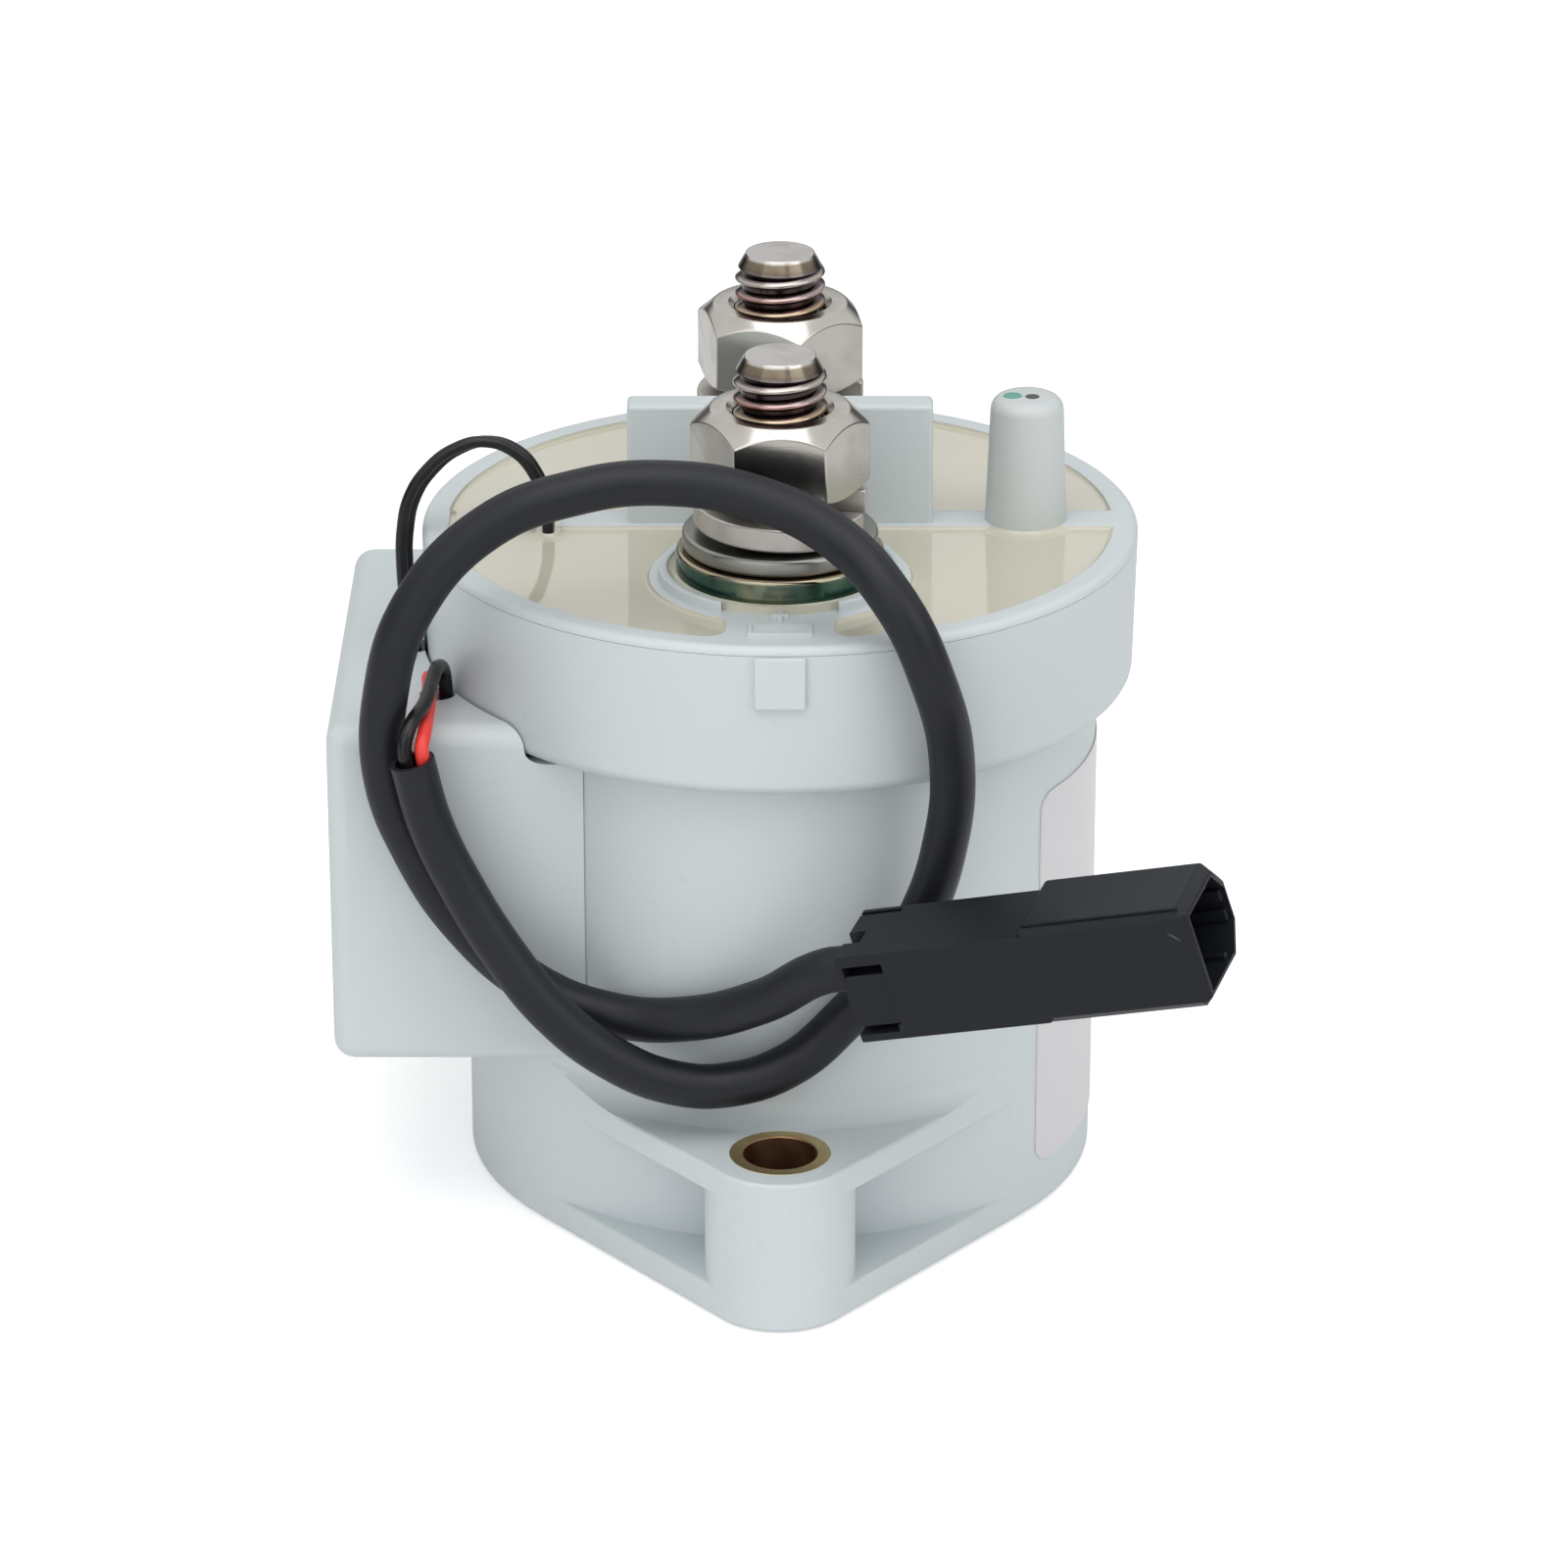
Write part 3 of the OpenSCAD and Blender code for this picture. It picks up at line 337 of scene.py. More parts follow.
slope = math.asin((BODY_R - BOSS_R) / EAR_Y)
side_angle = math.degrees(slope)
ear_plan = (arc((0, -EAR_Y), BOSS_R - SINK, -180 + side_angle, -side_angle, 28)
            + arc((0, 0), BODY_R - SINK, -side_angle, -side_angle, 1)[:1]
            + arc((0, 0), BODY_R - 1, -side_angle - 0.5, -180 + side_angle + 0.5, 40)
            + arc((0, 0), BODY_R - SINK, -180 + side_angle, -180 + side_angle, 1)[:1])
ear = prism("ear", ear_plan, EAR_H - EAR_TOP_T, EAR_H)
pick_edges(ear, lambda p: p.z > EAR_H - 0.01)
round_picked(EDGE)
foot = prism("ear_foot", ear_plan, 0, EAR_LOW_T)
pick_edges(foot, lambda p: p.z < 0.01)
round_picked(EDGE)
boss = lathe("ear_boss", [(0, 0.01), (BOSS_R, 0.01, EDGE), (BOSS_R, EAR_H + 0.01, EDGE), (0, EAR_H + 0.01)],
             (0, -EAR_Y), steps=96)
bend = (BODY_R + FILLET - SINK, EAR_H + FILLET - SINK)
WEDGE_R, WEDGE_Z = 26.5, 12.6
wedge = lathe("ear_fillet", [(WEDGE_R, bend[1]), (WEDGE_R, WEDGE_Z), (bend[0], WEDGE_Z)]
              + arc(bend, FILLET, 270, 180, 10), closed=True, steps=160)
ear_sides = [(side * math.cos(slope), -math.sin(slope), 0) for side in (-1, 1)]
slice_off(wedge, *[([(BODY_R - 0.05) * v for v in outward], outward) for outward in ear_sides],
          ((0, -15, 0), (0, 1, 0)))
for more in (boss, foot, wedge):
    carve(ear, more, "UNION")
rear_ear = copy_of(ear, "rear_ear", mirror_y=True)
carve(housing, ear, "UNION")
carve(housing, rear_ear, "UNION")
BUSH_R = 4.25
for side in (-1, 1):
    hole = [(0, -1), (BUSH_R, -1), (BUSH_R, EAR_H + 1.4), (0, EAR_H + 1.4)]
    carve(housing, lathe("bush_hole", hole, (0, side * EAR_Y), steps=64))
carve(housing, block("collar_key", (-2.1, -31.05, 52.5), (2.1, -29.9, 56.98), 0.14), "UNION")
finish_piece(housing, pale_plastic, "housing_plastic", "housing")


# Bushes: a turned brass sleeve pressed in each ear, so the bolt does not crush the plastic.
# The faces show faint rings from the lathe, and the bore is darker.
turned, turned_in, turned_out = new_group(
    "turned_metal",
    [("Vector", "NodeSocketVector", None), ("Colour", "NodeSocketColor", (0.6, 0.6, 0.6, 1)),
     ("Tarnish", "NodeSocketColor", (0.4, 0.3, 0.2, 1)), ("Share", "NodeSocketFloat", 0.3),
     ("Patch", "NodeSocketFloat", 250.0), ("Roughness", "NodeSocketFloat", 0.25)],
    [("Colour", "NodeSocketColor"), ("Roughness", "NodeSocketFloat"), ("Height", "NodeSocketFloat")])


def from_axis(tree, place):
    """The three parts of a place, and its distance from the upright axis."""
    parts = add_node(tree, "ShaderNodeSeparateXYZ", {0: place}).outputs
    plan = add_node(tree, "ShaderNodeCombineXYZ", {0: parts[0], 1: parts[1]})
    reach = add_node(tree, "ShaderNodeVectorMath", {0: plan.outputs[0]}, operation="LENGTH")
    return parts, reach.outputs["Value"]


RING_SCALE, TURNED_DEPTH = 6500.0, 0.00003
asked = turned_in.outputs
parts, reach = from_axis(turned, asked["Vector"])
round_place = add_node(turned, "ShaderNodeCombineXYZ", {0: reach, 2: parts[2]})
rings = noise(turned, round_place.outputs[0], RING_SCALE, 2.0)
patch_mask = remap(turned, noise(turned, asked["Vector"], asked["Patch"], 4.0), 0.42, 0.68)
patch_share = calc(turned, "MULTIPLY", patch_mask, asked["Share"])
dull = calc(turned, "ADD", calc(turned, "MULTIPLY", patch_mask, 0.10), calc(turned, "MULTIPLY", rings, 0.08))
set_inputs(turned, turned_out, {
    "Colour": mix_colours(turned, patch_share, asked["Colour"], asked["Tarnish"]),
    "Roughness": calc(turned, "ADD", dull, asked["Roughness"]), "Height": rings})


def centred(tree, axis):
    """Places on the object, measured from an upright axis given in millimetres."""
    where = add_node(tree, "ShaderNodeTexCoord").outputs["Object"]
    return add_node(tree, "ShaderNodeMapping",
                    {"Vector": where, "Location": (-axis[0] * MM, -axis[1] * MM, 0)}).outputs[0]


def turned_metal(name, colour, tarnish, share, patch, roughness, bump, axis=(0, 0), metallic=1.0, bore=None):
    """A metal turned about an axis, with patches of another tint and a bore of (radius, radius, tone)."""
    material, tree, shader = new_material(name)
    place = centred(tree, axis)
    group = add_node(tree, "ShaderNodeGroup", {
        "Vector": place, "Colour": (*colour, 1), "Tarnish": (*tarnish, 1), "Share": share, "Patch": patch,
        "Roughness": roughness}, node_tree=turned)
    others = {"Metallic": metallic}
    if bore:
        on_face = remap(tree, from_axis(tree, place)[1], bore[0] * MM, bore[1] * MM)
        others["Base Color"] = mix_colours(tree, on_face, (*bore[2], 1), group.outputs["Colour"])
    feed(tree, shader, group, bump, TURNED_DEPTH, others)
    return material


BORE_R = 3.1
for end, side in (("front", -1), ("rear", 1)):
    bush = lathe("bush_" + end, [(BORE_R, 0.02, 0.3), (BUSH_R - 0.01, 0.02, 0.2),
                                 (BUSH_R - 0.01, EAR_H + 0.01, 0.1), (BORE_R, EAR_H + 0.01, 0.14)],
                 (0, side * EAR_Y), closed=True, steps=72)
    brass = turned_metal("bush_brass_" + end, (0.60, 0.47, 0.23), (0.40, 0.27, 0.12), 0.5, 300.0, 0.34, 0.2,
                         (0, side * EAR_Y), bore=(BORE_R + 0.01, BORE_R + 0.1, (0.34, 0.19, 0.11)))
    finish_piece(bush, brass, "bush_brass", "bush_" + end)


# Magnet system: steel yoke cup, coil on its bobbin, guide tube, plunger, shaft, core and plate.
# It is dropped into the cup before the top is potted, and nothing of it shows from outside.
def dress(material, *names):
    """Gives carried-over CAD nodes a material."""
    for name in names:
        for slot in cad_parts[name].material_slots:
            slot.material = material


soft_iron = turned_metal("soft_iron", (0.40, 0.41, 0.43), (0.30, 0.29, 0.28), 0.5, 180.0, 0.36, 0.3)
steel_wire = turned_metal("drawn_steel", (0.52, 0.52, 0.54), (0.42, 0.41, 0.40), 0.4, 400.0, 0.28, 0.2)
copper = turned_metal("bare_copper", (0.62, 0.30, 0.17), (0.42, 0.19, 0.11), 0.6, 260.0, 0.3, 0.25)
silver = turned_metal("contact_silver", (0.70, 0.69, 0.66), (0.50, 0.48, 0.44), 0.4, 300.0, 0.3, 0.2)
coil_nylon = moulded("black_nylon", (0.020, 0.020, 0.022), 0.1, 0.0, 4000.0, 0.5, 0.2)
dress(soft_iron, "yoke_cup", "plunger", "fixed_core", "top_plate")
dress(steel_wire, "guide_tube", "shaft", "retaining_clip")
dress(copper, "coil_winding", "contact_bridge", "evacuation_tube")
dress(silver, "contact_tips")
dress(coil_nylon, "coil_bobbin", "spring_seat")


# Springs: the return spring between plunger and core, and the contact spring under the bridge.
# Drawn wire, wound on a mandrel. In the relay both shorten as the armature rises, towards the end that rests;
# here they are wound at one length.
def wind(name, section, angle, rise, turns, steps):
    """A closed section of (radius, height) points wound up a screw and capped at both ends."""
    obj = draw_line(name, [(r, 0, z) for r, z in section + section[:1]])
    bpy.ops.mesh.select_all(action="SELECT")
    bpy.ops.mesh.remove_doubles(threshold=1e-4)
    bpy.ops.object.mode_set(mode="OBJECT")
    use_modifier(obj, "SCREW", angle=angle, screw_offset=rise, iterations=turns, steps=steps,
                 render_steps=steps, use_merge_vertices=False)
    bpy.ops.object.mode_set(mode="EDIT")
    bpy.ops.mesh.select_all(action="DESELECT")
    bpy.ops.mesh.select_mode(type="EDGE")
    bpy.ops.mesh.select_non_manifold()
    bpy.ops.mesh.edge_face_add()
    return close_up(obj)


SPRING_R, SPRING_WIRE = 4.2, 0.8
for name, body, low, high, turns, shortens, rest_z in (
        ("return_spring", "frame", 18.05, 27.05, 6, 2.0, 27.05),
        ("contact_spring", "armature", 37.55, 41.45, 3, 0.5, 37.55)):
    wire_section = arc((SPRING_R, low + SPRING_WIRE / 2), SPRING_WIRE / 2, 0, 330, 11)
    spring = wind(name, wire_section, FULL_TURN, (high - low - SPRING_WIRE) / turns, turns, 32)
    finish_piece(spring, steel_wire, "spring_steel", name, body=body)
    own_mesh(spring)


# Arc chamber: the sealed ceramic box round the contacts, with a blow-out magnet on each side.
# Fired alumina, brazed to the plate; the magnets are plated and rest on the housing's ledge.
alumina = moulded("fired_alumina", (0.82, 0.80, 0.74), 0.06, 0.1, 3000.0, 0.55, 0.3)
dress(alumina, "arc_chamber")
dress(silver, "magnet_left", "magnet_right")


# Terminal studs: copper turned in one piece with its seat flange, then nickel plated.
# The thread is cut along the whole shank; plating and heat leave pink, gold and green tints.
STUD_Y, SEAT_TOP, STUD_TOP = 13.7, 60.4, 77.2
CREST_R, ROOT_R, PITCH = 3.93, 3.3, 1.36
SHANK_R, SHANK_Z, FLANGE_R, FLANGE_Z = 6, 46.05, 8.7, 56.5
thread = draw_line("stud", [
    (r, 0, SEAT_TOP - 1.6 + z * PITCH) for r, z in
    ((ROOT_R, 0), (ROOT_R, 0.16), (CREST_R - 0.1, 0.4), (CREST_R - 0.02, 0.45), (CREST_R, 0.52),
     (CREST_R - 0.02, 0.59), (CREST_R - 0.1, 0.65), (ROOT_R, 0.92), (ROOT_R, 1.0))])
bpy.ops.object.mode_set(mode="OBJECT")
use_modifier(thread, "SCREW", screw_offset=PITCH, iterations=14, steps=56, render_steps=56, angle=FULL_TURN,
             use_merge_vertices=True, merge_threshold=1e-4)
slice_off(thread, ((0, 0, SEAT_TOP - 0.2), (0, 0, -1)), ((0, 0, STUD_TOP), (0, 0, 1)))
carve(thread, lathe("stud_point", [(0, 50), (4.4, 50), (4.4, STUD_TOP - 2.6), (2.95, STUD_TOP, 0.12),
                                   (0, STUD_TOP + 0.005)], steps=96), "INTERSECT")
carve(thread, lathe("stud_tip", [(0, STUD_TOP - 1.7), (3.2, STUD_TOP - 1.7), (3.64, STUD_TOP - 1.25),
                                 (2.945, STUD_TOP - 0.005, 0.12), (0, STUD_TOP - 0.005)], steps=96), "UNION")
carve(thread, lathe("stud_flange", [
    (0, SHANK_Z), (SHANK_R - 0.9, SHANK_Z), (SHANK_R, SHANK_Z + 0.9), (SHANK_R, FLANGE_Z),
    (FLANGE_R, FLANGE_Z, 0.25), (FLANGE_R, SEAT_TOP - 0.02, 0.35), (0, SEAT_TOP - 0.02)], steps=112), "UNION")


def ramp(tree, share, *stops):
    """A colour ramp through stops of (position, tone)."""
    node = add_node(tree, "ShaderNodeValToRGB", {"Fac": share})
    elements = node.color_ramp.elements
    for element, (position, tone) in zip(elements, (stops[0], stops[-1])):
        element.position, element.color = position, (*tone, 1)
    for position, tone in stops[1:-1]:
        elements.new(position).color = (*tone, 1)
    return node.outputs["Color"]


def plated_stud(name, side):
    """Nickel over copper: grey end and crests, roots painted near-black as shade in the thread's hollows, copper
    by the nut, a green and gold flange.
    """
    material, tree, shader = new_material(name)
    place = centred(tree, (0, side * STUD_Y))
    parts, reach = from_axis(tree, place)
    bands = ramp(tree, remap(tree, parts[2], (STUD_TOP - 5) * MM, STUD_TOP * MM),
                 (0.0, (0.40, 0.34, 0.24)), (0.12, (0.44, 0.33, 0.22)), (0.28, (0.36, 0.18, 0.16)),
                 (0.42, (0.44, 0.37, 0.36)), (0.76, (0.50, 0.47, 0.43)), (0.80, (0.13, 0.105, 0.07)),
                 (0.93, (0.17, 0.14, 0.10)), (0.97, (0.52, 0.50, 0.47)), (0.995, (0.50, 0.485, 0.468)))
    group = add_node(tree, "ShaderNodeGroup", {
        "Vector": place, "Colour": bands, "Tarnish": (0.36, 0.31, 0.295, 1), "Share": 0.35, "Patch": 420.0,
        "Roughness": 0.1}, node_tree=turned)
    # Painted shade: the thread roots darken to near-black brown, in place of the shade in the hollows between the
    # crests.
    root_shade_share = remap(tree, reach, (CREST_R - 0.08) * MM, (ROOT_R + 0.25) * MM, 0.0, 0.95)
    below_tip = remap(tree, parts[2], (STUD_TOP - 0.9) * MM, (STUD_TOP - 1.2) * MM)
    shank_tone_with_root_shade = mix_colours(tree, calc(tree, "MULTIPLY", root_shade_share, below_tip), group.outputs["Colour"],
                             (0.035, 0.022, 0.024, 1))
    aside = remap(tree, calc(tree, "ABSOLUTE", parts[0], 0.0), 0.0, FLANGE_R * MM, 0.08, -0.12)
    film = ramp(tree, calc(tree, "ADD", noise(tree, place, 260.0, 2.0), aside),
                (0.36, (0.045, 0.105, 0.085)), (0.62, (0.10, 0.155, 0.12)), (0.86, (0.26, 0.27, 0.19)))
    on_flange = remap(tree, parts[2], (SEAT_TOP - 0.05) * MM, (SEAT_TOP - 0.45) * MM)
    feed(tree, shader, group, 0.15, TURNED_DEPTH,
         {"Base Color": mix_colours(tree, on_flange, shank_tone_with_root_shade, film), "Metallic": 1.0})
    return material


stud_rear = copy_of(thread, "stud_rear", (0, STUD_Y, 0), turn_z=70)
stud_front = copy_of(thread, "stud_front", (0, -STUD_Y, 0), turn_z=82)
bpy.data.objects.remove(thread)
finish_piece(stud_front, plated_stud("plated_stud_front", -1), "terminal_metal", "stud_front", sharp=40)
finish_piece(stud_rear, plated_stud("plated_stud_rear", 1), "terminal_metal", "stud_rear", sharp=40)


# Top cover: a moulded lid whose skirt drops into the collar, with the cross rib, the barrier
# between the terminals and a raised ring round each of them. Same plastic as the housing.
POOL_R, RING_R, RING_IN_R, WEB_X, RIB_Y, CORNER = 28.4, 11.0, 9.4, 4.5, 1.95, 1.6
RIB_END, CAP_X = -18.6, 21.0


def pool_outline(side, grow):
    """Plan of the pool on one side of the rib, between rim, web, terminal ring and rib."""
    rim, ring, web, rib, corner = POOL_R + grow, RING_R - grow, WEB_X - grow, RIB_Y - grow, CORNER
    mid_x = web + corner
    rim_mid = math.sqrt((rim - corner) ** 2 - mid_x ** 2)
    ring_mid = math.sqrt((ring + corner) ** 2 - mid_x ** 2)
    rim_angle = math.degrees(math.atan2(rim_mid, mid_x))
    ring_angle = math.degrees(math.atan2(ring_mid, mid_x))
    start = math.degrees(math.asin(rib / rim))
    half = (arc((0, 0), rim, start, rim_angle, 30)
            + arc((mid_x, rim_mid), corner, rim_angle, 180, 10)[1:]
            + arc((mid_x, STUD_Y + ring_mid), corner, 180, 180 + ring_angle, 10)
            + arc((0, STUD_Y), ring, ring_angle, -90, 30)[1:])
    other = [(-x, y) for x, y in half[-2::-1]]
    return [(x, side * y) for x, y in half + other]


def join(pieces):
    """Joins separate meshes into the first of them."""
    select_only(pieces[0])
    for more in pieces[1:]:
        more.select_set(True)
    bpy.ops.object.join()
    return pieces[0]


def loft(name, loops):
    """Closed loops of points, one above the other, bridged and capped into a solid."""
    rings = []
    for points in loops:
        rings.append(draw_line(name, points + points[:1]))
        bpy.ops.object.mode_set(mode="OBJECT")
    solid = join(rings)
    bpy.ops.object.mode_set(mode="EDIT")
    bpy.ops.mesh.select_all(action="SELECT")
    bpy.ops.mesh.remove_doubles(threshold=1e-4)
    bpy.ops.mesh.bridge_edge_loops()
    bpy.ops.mesh.select_all(action="SELECT")
    bpy.ops.mesh.fill_holes(sides=0)
    return close_up(solid)


COVER_Z, SKIRT_Z, SKIRT_R, CUT_Z = 55.3, 51, 29.35, 54
cover = lathe("top_cover", [
    (0, COVER_Z), (POOL_R, COVER_Z), (POOL_R, SKIRT_Z), (SKIRT_R, SKIRT_Z), (SKIRT_R, SEAM_Z + 0.03),
    (COLLAR_R, SEAM_Z + 0.03, 0.05), (COLLAR_R, RIM_Z, 0.65), (0, RIM_Z)], steps=160)
EDGE_ROUND = ((0.0, -0.2), (0.06, -0.06), (0.2, 0.0), (0.2, 1.0))
for side in (-1, 1):
    loops = [[(x, y, CUT_Z) for x, y in pool_outline(side, 0)]]
    loops += [[(x, y, RIM_Z + up) for x, y in pool_outline(side, grow)] for grow, up in EDGE_ROUND]
    carve(cover, loft("pool_cut", loops))
    well = [(0, CUT_Z), (RING_IN_R, CUT_Z), (RING_IN_R, RIM_Z + 1.2), (0, RIM_Z + 1.2)]
    carve(cover, lathe("ring_cut", well, (0, side * STUD_Y), steps=96))
LIP_IN_R, LIP_OUT_R, LIP_LOW, LIP_TOP, GAP_X = RING_IN_R + 0.02, RING_IN_R + 0.805, 56.5, 58.7, 4.85
for side in (-1, 1):
    lip = lathe("ring_lip", [(LIP_IN_R, LIP_LOW), (LIP_OUT_R, LIP_LOW), (LIP_OUT_R, LIP_TOP, 0.2),
                             (LIP_IN_R, LIP_TOP, 0.2)], (0, side * STUD_Y), closed=True, steps=112)
    gap_y = sorted((side * (STUD_Y + 4), side * (STUD_Y + 13)))
    carve(lip, block("lip_gap", (-GAP_X, gap_y[0], 56), (GAP_X, gap_y[1], 60)))
    carve(cover, lip, "UNION")
    mark_y = side * 24.1
    mark = block("polarity_bar", (-0.65, mark_y - 0.2, RIM_Z - 0.3), (0.65, mark_y + 0.2, RIM_Z + 0.45), 0.08)
    if side < 0:
        carve(mark, block("polarity_stroke", (-0.2, mark_y - 0.65, RIM_Z - 0.25),
                          (0.2, mark_y + 0.65, RIM_Z + 0.44), 0.08), "UNION")
    carve(cover, mark, "UNION")
    pad_y = sorted((side * 25.6, side * 28.1))
    pad = block("blank_frame", (-2.65, pad_y[0], RIM_Z - 0.3), (2.65, pad_y[1], RIM_Z + 0.26), 0.08)
    carve(pad, block("frame_room", (-2.3, pad_y[0] + 0.4, RIM_Z - 1), (2.3, pad_y[1] - 0.4, RIM_Z + 1)))
    carve(cover, pad, "UNION")
carve(cover, block("low_rib_end", (-POOL_R + 0.1, -2.4, 56.9), (RIB_END, 2.4, 59)))
BARRIER_X, BARRIER_Y, BARRIER_TOP = 13, 1.5, 68.4
carve(cover, block("barrier", (-BARRIER_X, -BARRIER_Y, 56), (BARRIER_X, BARRIER_Y, BARRIER_TOP), 0.4), "UNION")
finish_piece(cover, pale_plastic, "housing_plastic", "top_cover")


# Potting: cream resin poured into the pools of the cover and into the rings round the studs.
# It creeps up the walls at its edge and cures to a glossy, slightly cloudy face.
POOL_Z, CREEP = 57.4, 0.3
resin = moulded("cream_resin", (0.58, 0.56, 0.455), 0.10, 0.0, 130.0, 0.06, 0.12, 0.6, 0.0004)


def pick_faces(obj, test):
    """Goes into edit mode with only those faces selected that pass a test."""
    select_only(obj)
    bpy.ops.object.mode_set(mode="EDIT")
    bpy.ops.mesh.select_mode(type="FACE")
    bpy.ops.mesh.select_all(action="DESELECT")
    bpy.ops.object.mode_set(mode="OBJECT")
    for face in obj.data.polygons:
        face.select = test(face)
    bpy.ops.object.mode_set(mode="EDIT")


pools = []
for side in (-1, 1):
    pool = prism("potting_pool", pool_outline(side, 0.04), CUT_Z, POOL_Z + CREEP)
    pick_faces(pool, lambda face: face.normal.z > 0.9)
    for inward, drop in ((0.06, 0.11), (0.08, 0.09), (0.10, 0.06), (0.13, 0.04)):
        bpy.ops.mesh.inset(thickness=inward, depth=-drop, use_even_offset=True)
    bpy.ops.object.mode_set(mode="OBJECT")
    carve(pool, block("flooded_rib_end", (-27.8, -2.5, POOL_Z), (RIB_END, 2.5, 59)))
    pools.append(pool)
    pools.append(lathe("potting_ring", [
        (FLANGE_R - 0.04, 56.6), (RING_IN_R + 0.04, 56.6), (RING_IN_R + 0.04, 58.48), (9.28, 58.3), (9.05, 58.22),
        (8.84, 58.28), (FLANGE_R - 0.04, 58.45)], (0, side * STUD_Y), closed=True, steps=96))
SWELL_Z = 56.5
for place, wide, rise in (((-19.7, -3.0), 0.95, 0.4), ((CAP_X, 0), 3.4, 0.41)):
    pools.append(lathe("potting_swell", [
        (0, SWELL_Z), (wide + 1.2, SWELL_Z), (wide + 1.2, POOL_Z - 0.01), (wide + 0.75, POOL_Z + 0.06),
        (wide + 0.35, POOL_Z + rise * 0.4), (wide + 0.1, POOL_Z + rise), (0, POOL_Z + rise + 0.02)],
        place, steps=72))
pools.append(block("potting_over_rib", (-POOL_R - 0.04, -2.6, SWELL_Z), (RIB_END, 2.6, POOL_Z + 0.005)))
potting = join(pools)
potting.name = potting.data.name = "potting"
finish_piece(potting, resin, "potting_resin", "potting")


# Tube cap: a blunt moulded cap over the pinched copper tube through which the chamber was emptied.
# It stands in the resin, and two dabs of paint on its end show that it was tested.
CAP_TOP = 68.9
cap_plastic = moulded("cap_plastic", (0.565, 0.60, 0.60), 0.06, 0.04, 4200.0, 0.42, 0.25)
cap = lathe("tube_cap", [(0, 55.8), (3.5, 55.8), (3.48, 57.9), (3.08, CAP_TOP, 1.25), (0, CAP_TOP)], (CAP_X, 0))
finish_piece(cap, cap_plastic, "cap_plastic", "tube_cap")


def paint_dab(name, x, y, radius, colour):
    """A thin round drop of marking paint on the cap's end."""
    paint = moulded(name + "_paint", colour, 0.15, 0.0, 1500.0, 0.35, 0.1)
    dab = lathe(name, [(0, CAP_TOP - 0.05), (radius, CAP_TOP - 0.05), (radius * 0.9, CAP_TOP + 0.03, 0.02),
                       (radius * 0.5, CAP_TOP + 0.06), (0, CAP_TOP + 0.065)], (x, y), steps=40)
    finish_piece(dab, paint, "cap_plastic")


paint_dab("paint_dab_green", CAP_X - 1.25, -0.26, 0.85, (0.09, 0.34, 0.26))
paint_dab("paint_dab_grey", CAP_X + 0.4, -0.5, 0.65, (0.03, 0.03, 0.035))


# Washers and nuts: a flat washer, a split spring washer and a chamfered hexagon nut on each stud.
# Plated steel with a warm satin face, screwed on loosely for transport, so the split stands open.
def plated_steel(name, side, colour=(0.50, 0.485, 0.445), roughness=0.13, metallic=1.0):
    return turned_metal(name, colour, (0.36, 0.33, 0.29), 0.4, 240.0, roughness, 0.12, (0, side * STUD_Y),
                        metallic)


WASHER_TOP = SEAT_TOP + 1.6
flat_washer = lathe("flat_washer", [
    (4.2, SEAT_TOP, 0.15), (8.2, SEAT_TOP, 0.6), (8.2, WASHER_TOP - 0.02, 0.35), (4.2, WASHER_TOP - 0.02, 0.15)],
    closed=True, steps=112)
STRIP_T, FREE_H, SPLIT = 2.0, 3.6, 8.0
STRIP_IN_R, STRIP_OUT_R, STRIP_TOP = 4.1, 7.25, WASHER_TOP + STRIP_T
strip = round_corners([(STRIP_IN_R, WASHER_TOP, 0.2), (STRIP_OUT_R, WASHER_TOP, 0.25),
                       (STRIP_OUT_R, STRIP_TOP, 0.25), (STRIP_IN_R, STRIP_TOP, 0.2)], True, 3)
split_washer = wind("split_washer", strip, -math.radians(360 - SPLIT), FREE_H - STRIP_T, 1, 96)
soften(split_washer, 0.4, 4, 60)


def cylinder(name, sides, radius, length, place, turn):
    bpy.ops.object.select_all(action="DESELECT")
    bpy.ops.mesh.primitive_cylinder_add(vertices=sides, radius=radius, depth=length, location=place,
                                        rotation=turn)
    obj = bpy.context.object
    obj.name = obj.data.name = name
    bpy.ops.object.transform_apply()
    return obj


NUT_Z, NUT_H, NUT_AF = 65.6, 7.1, 13.0
nut = cylinder("nut", 6, NUT_AF / math.sqrt(3), NUT_H, (0, 0, NUT_Z + NUT_H / 2), (0, 0, math.radians(30)))
CROWN_R, FOOT_R, WIDE_R = 5.8, 6.1, 8.6
crown_drop = (WIDE_R - CROWN_R) * math.tan(math.radians(43))
foot_rise = (WIDE_R - FOOT_R) * math.tan(math.radians(30))
carve(nut, lathe("nut_chamfer", [(0, NUT_Z), (FOOT_R, NUT_Z), (WIDE_R, NUT_Z + foot_rise),
                                 (WIDE_R, NUT_Z + NUT_H - crown_drop), (CROWN_R, NUT_Z + NUT_H),
                                 (0, NUT_Z + NUT_H)], steps=90), "INTERSECT")
soften(nut, 0.13, 3, 22, use_clamp_overlap=False)
bore_low, bore_high = NUT_Z - 0.5, NUT_Z + NUT_H + 0.5
carve(nut, lathe("nut_bore", [(0, bore_low), (5.0, bore_low), (4.0, NUT_Z + 0.5), (4.0, NUT_Z + NUT_H - 0.5),
                              (5.0, bore_high), (0, bore_high)], steps=96))
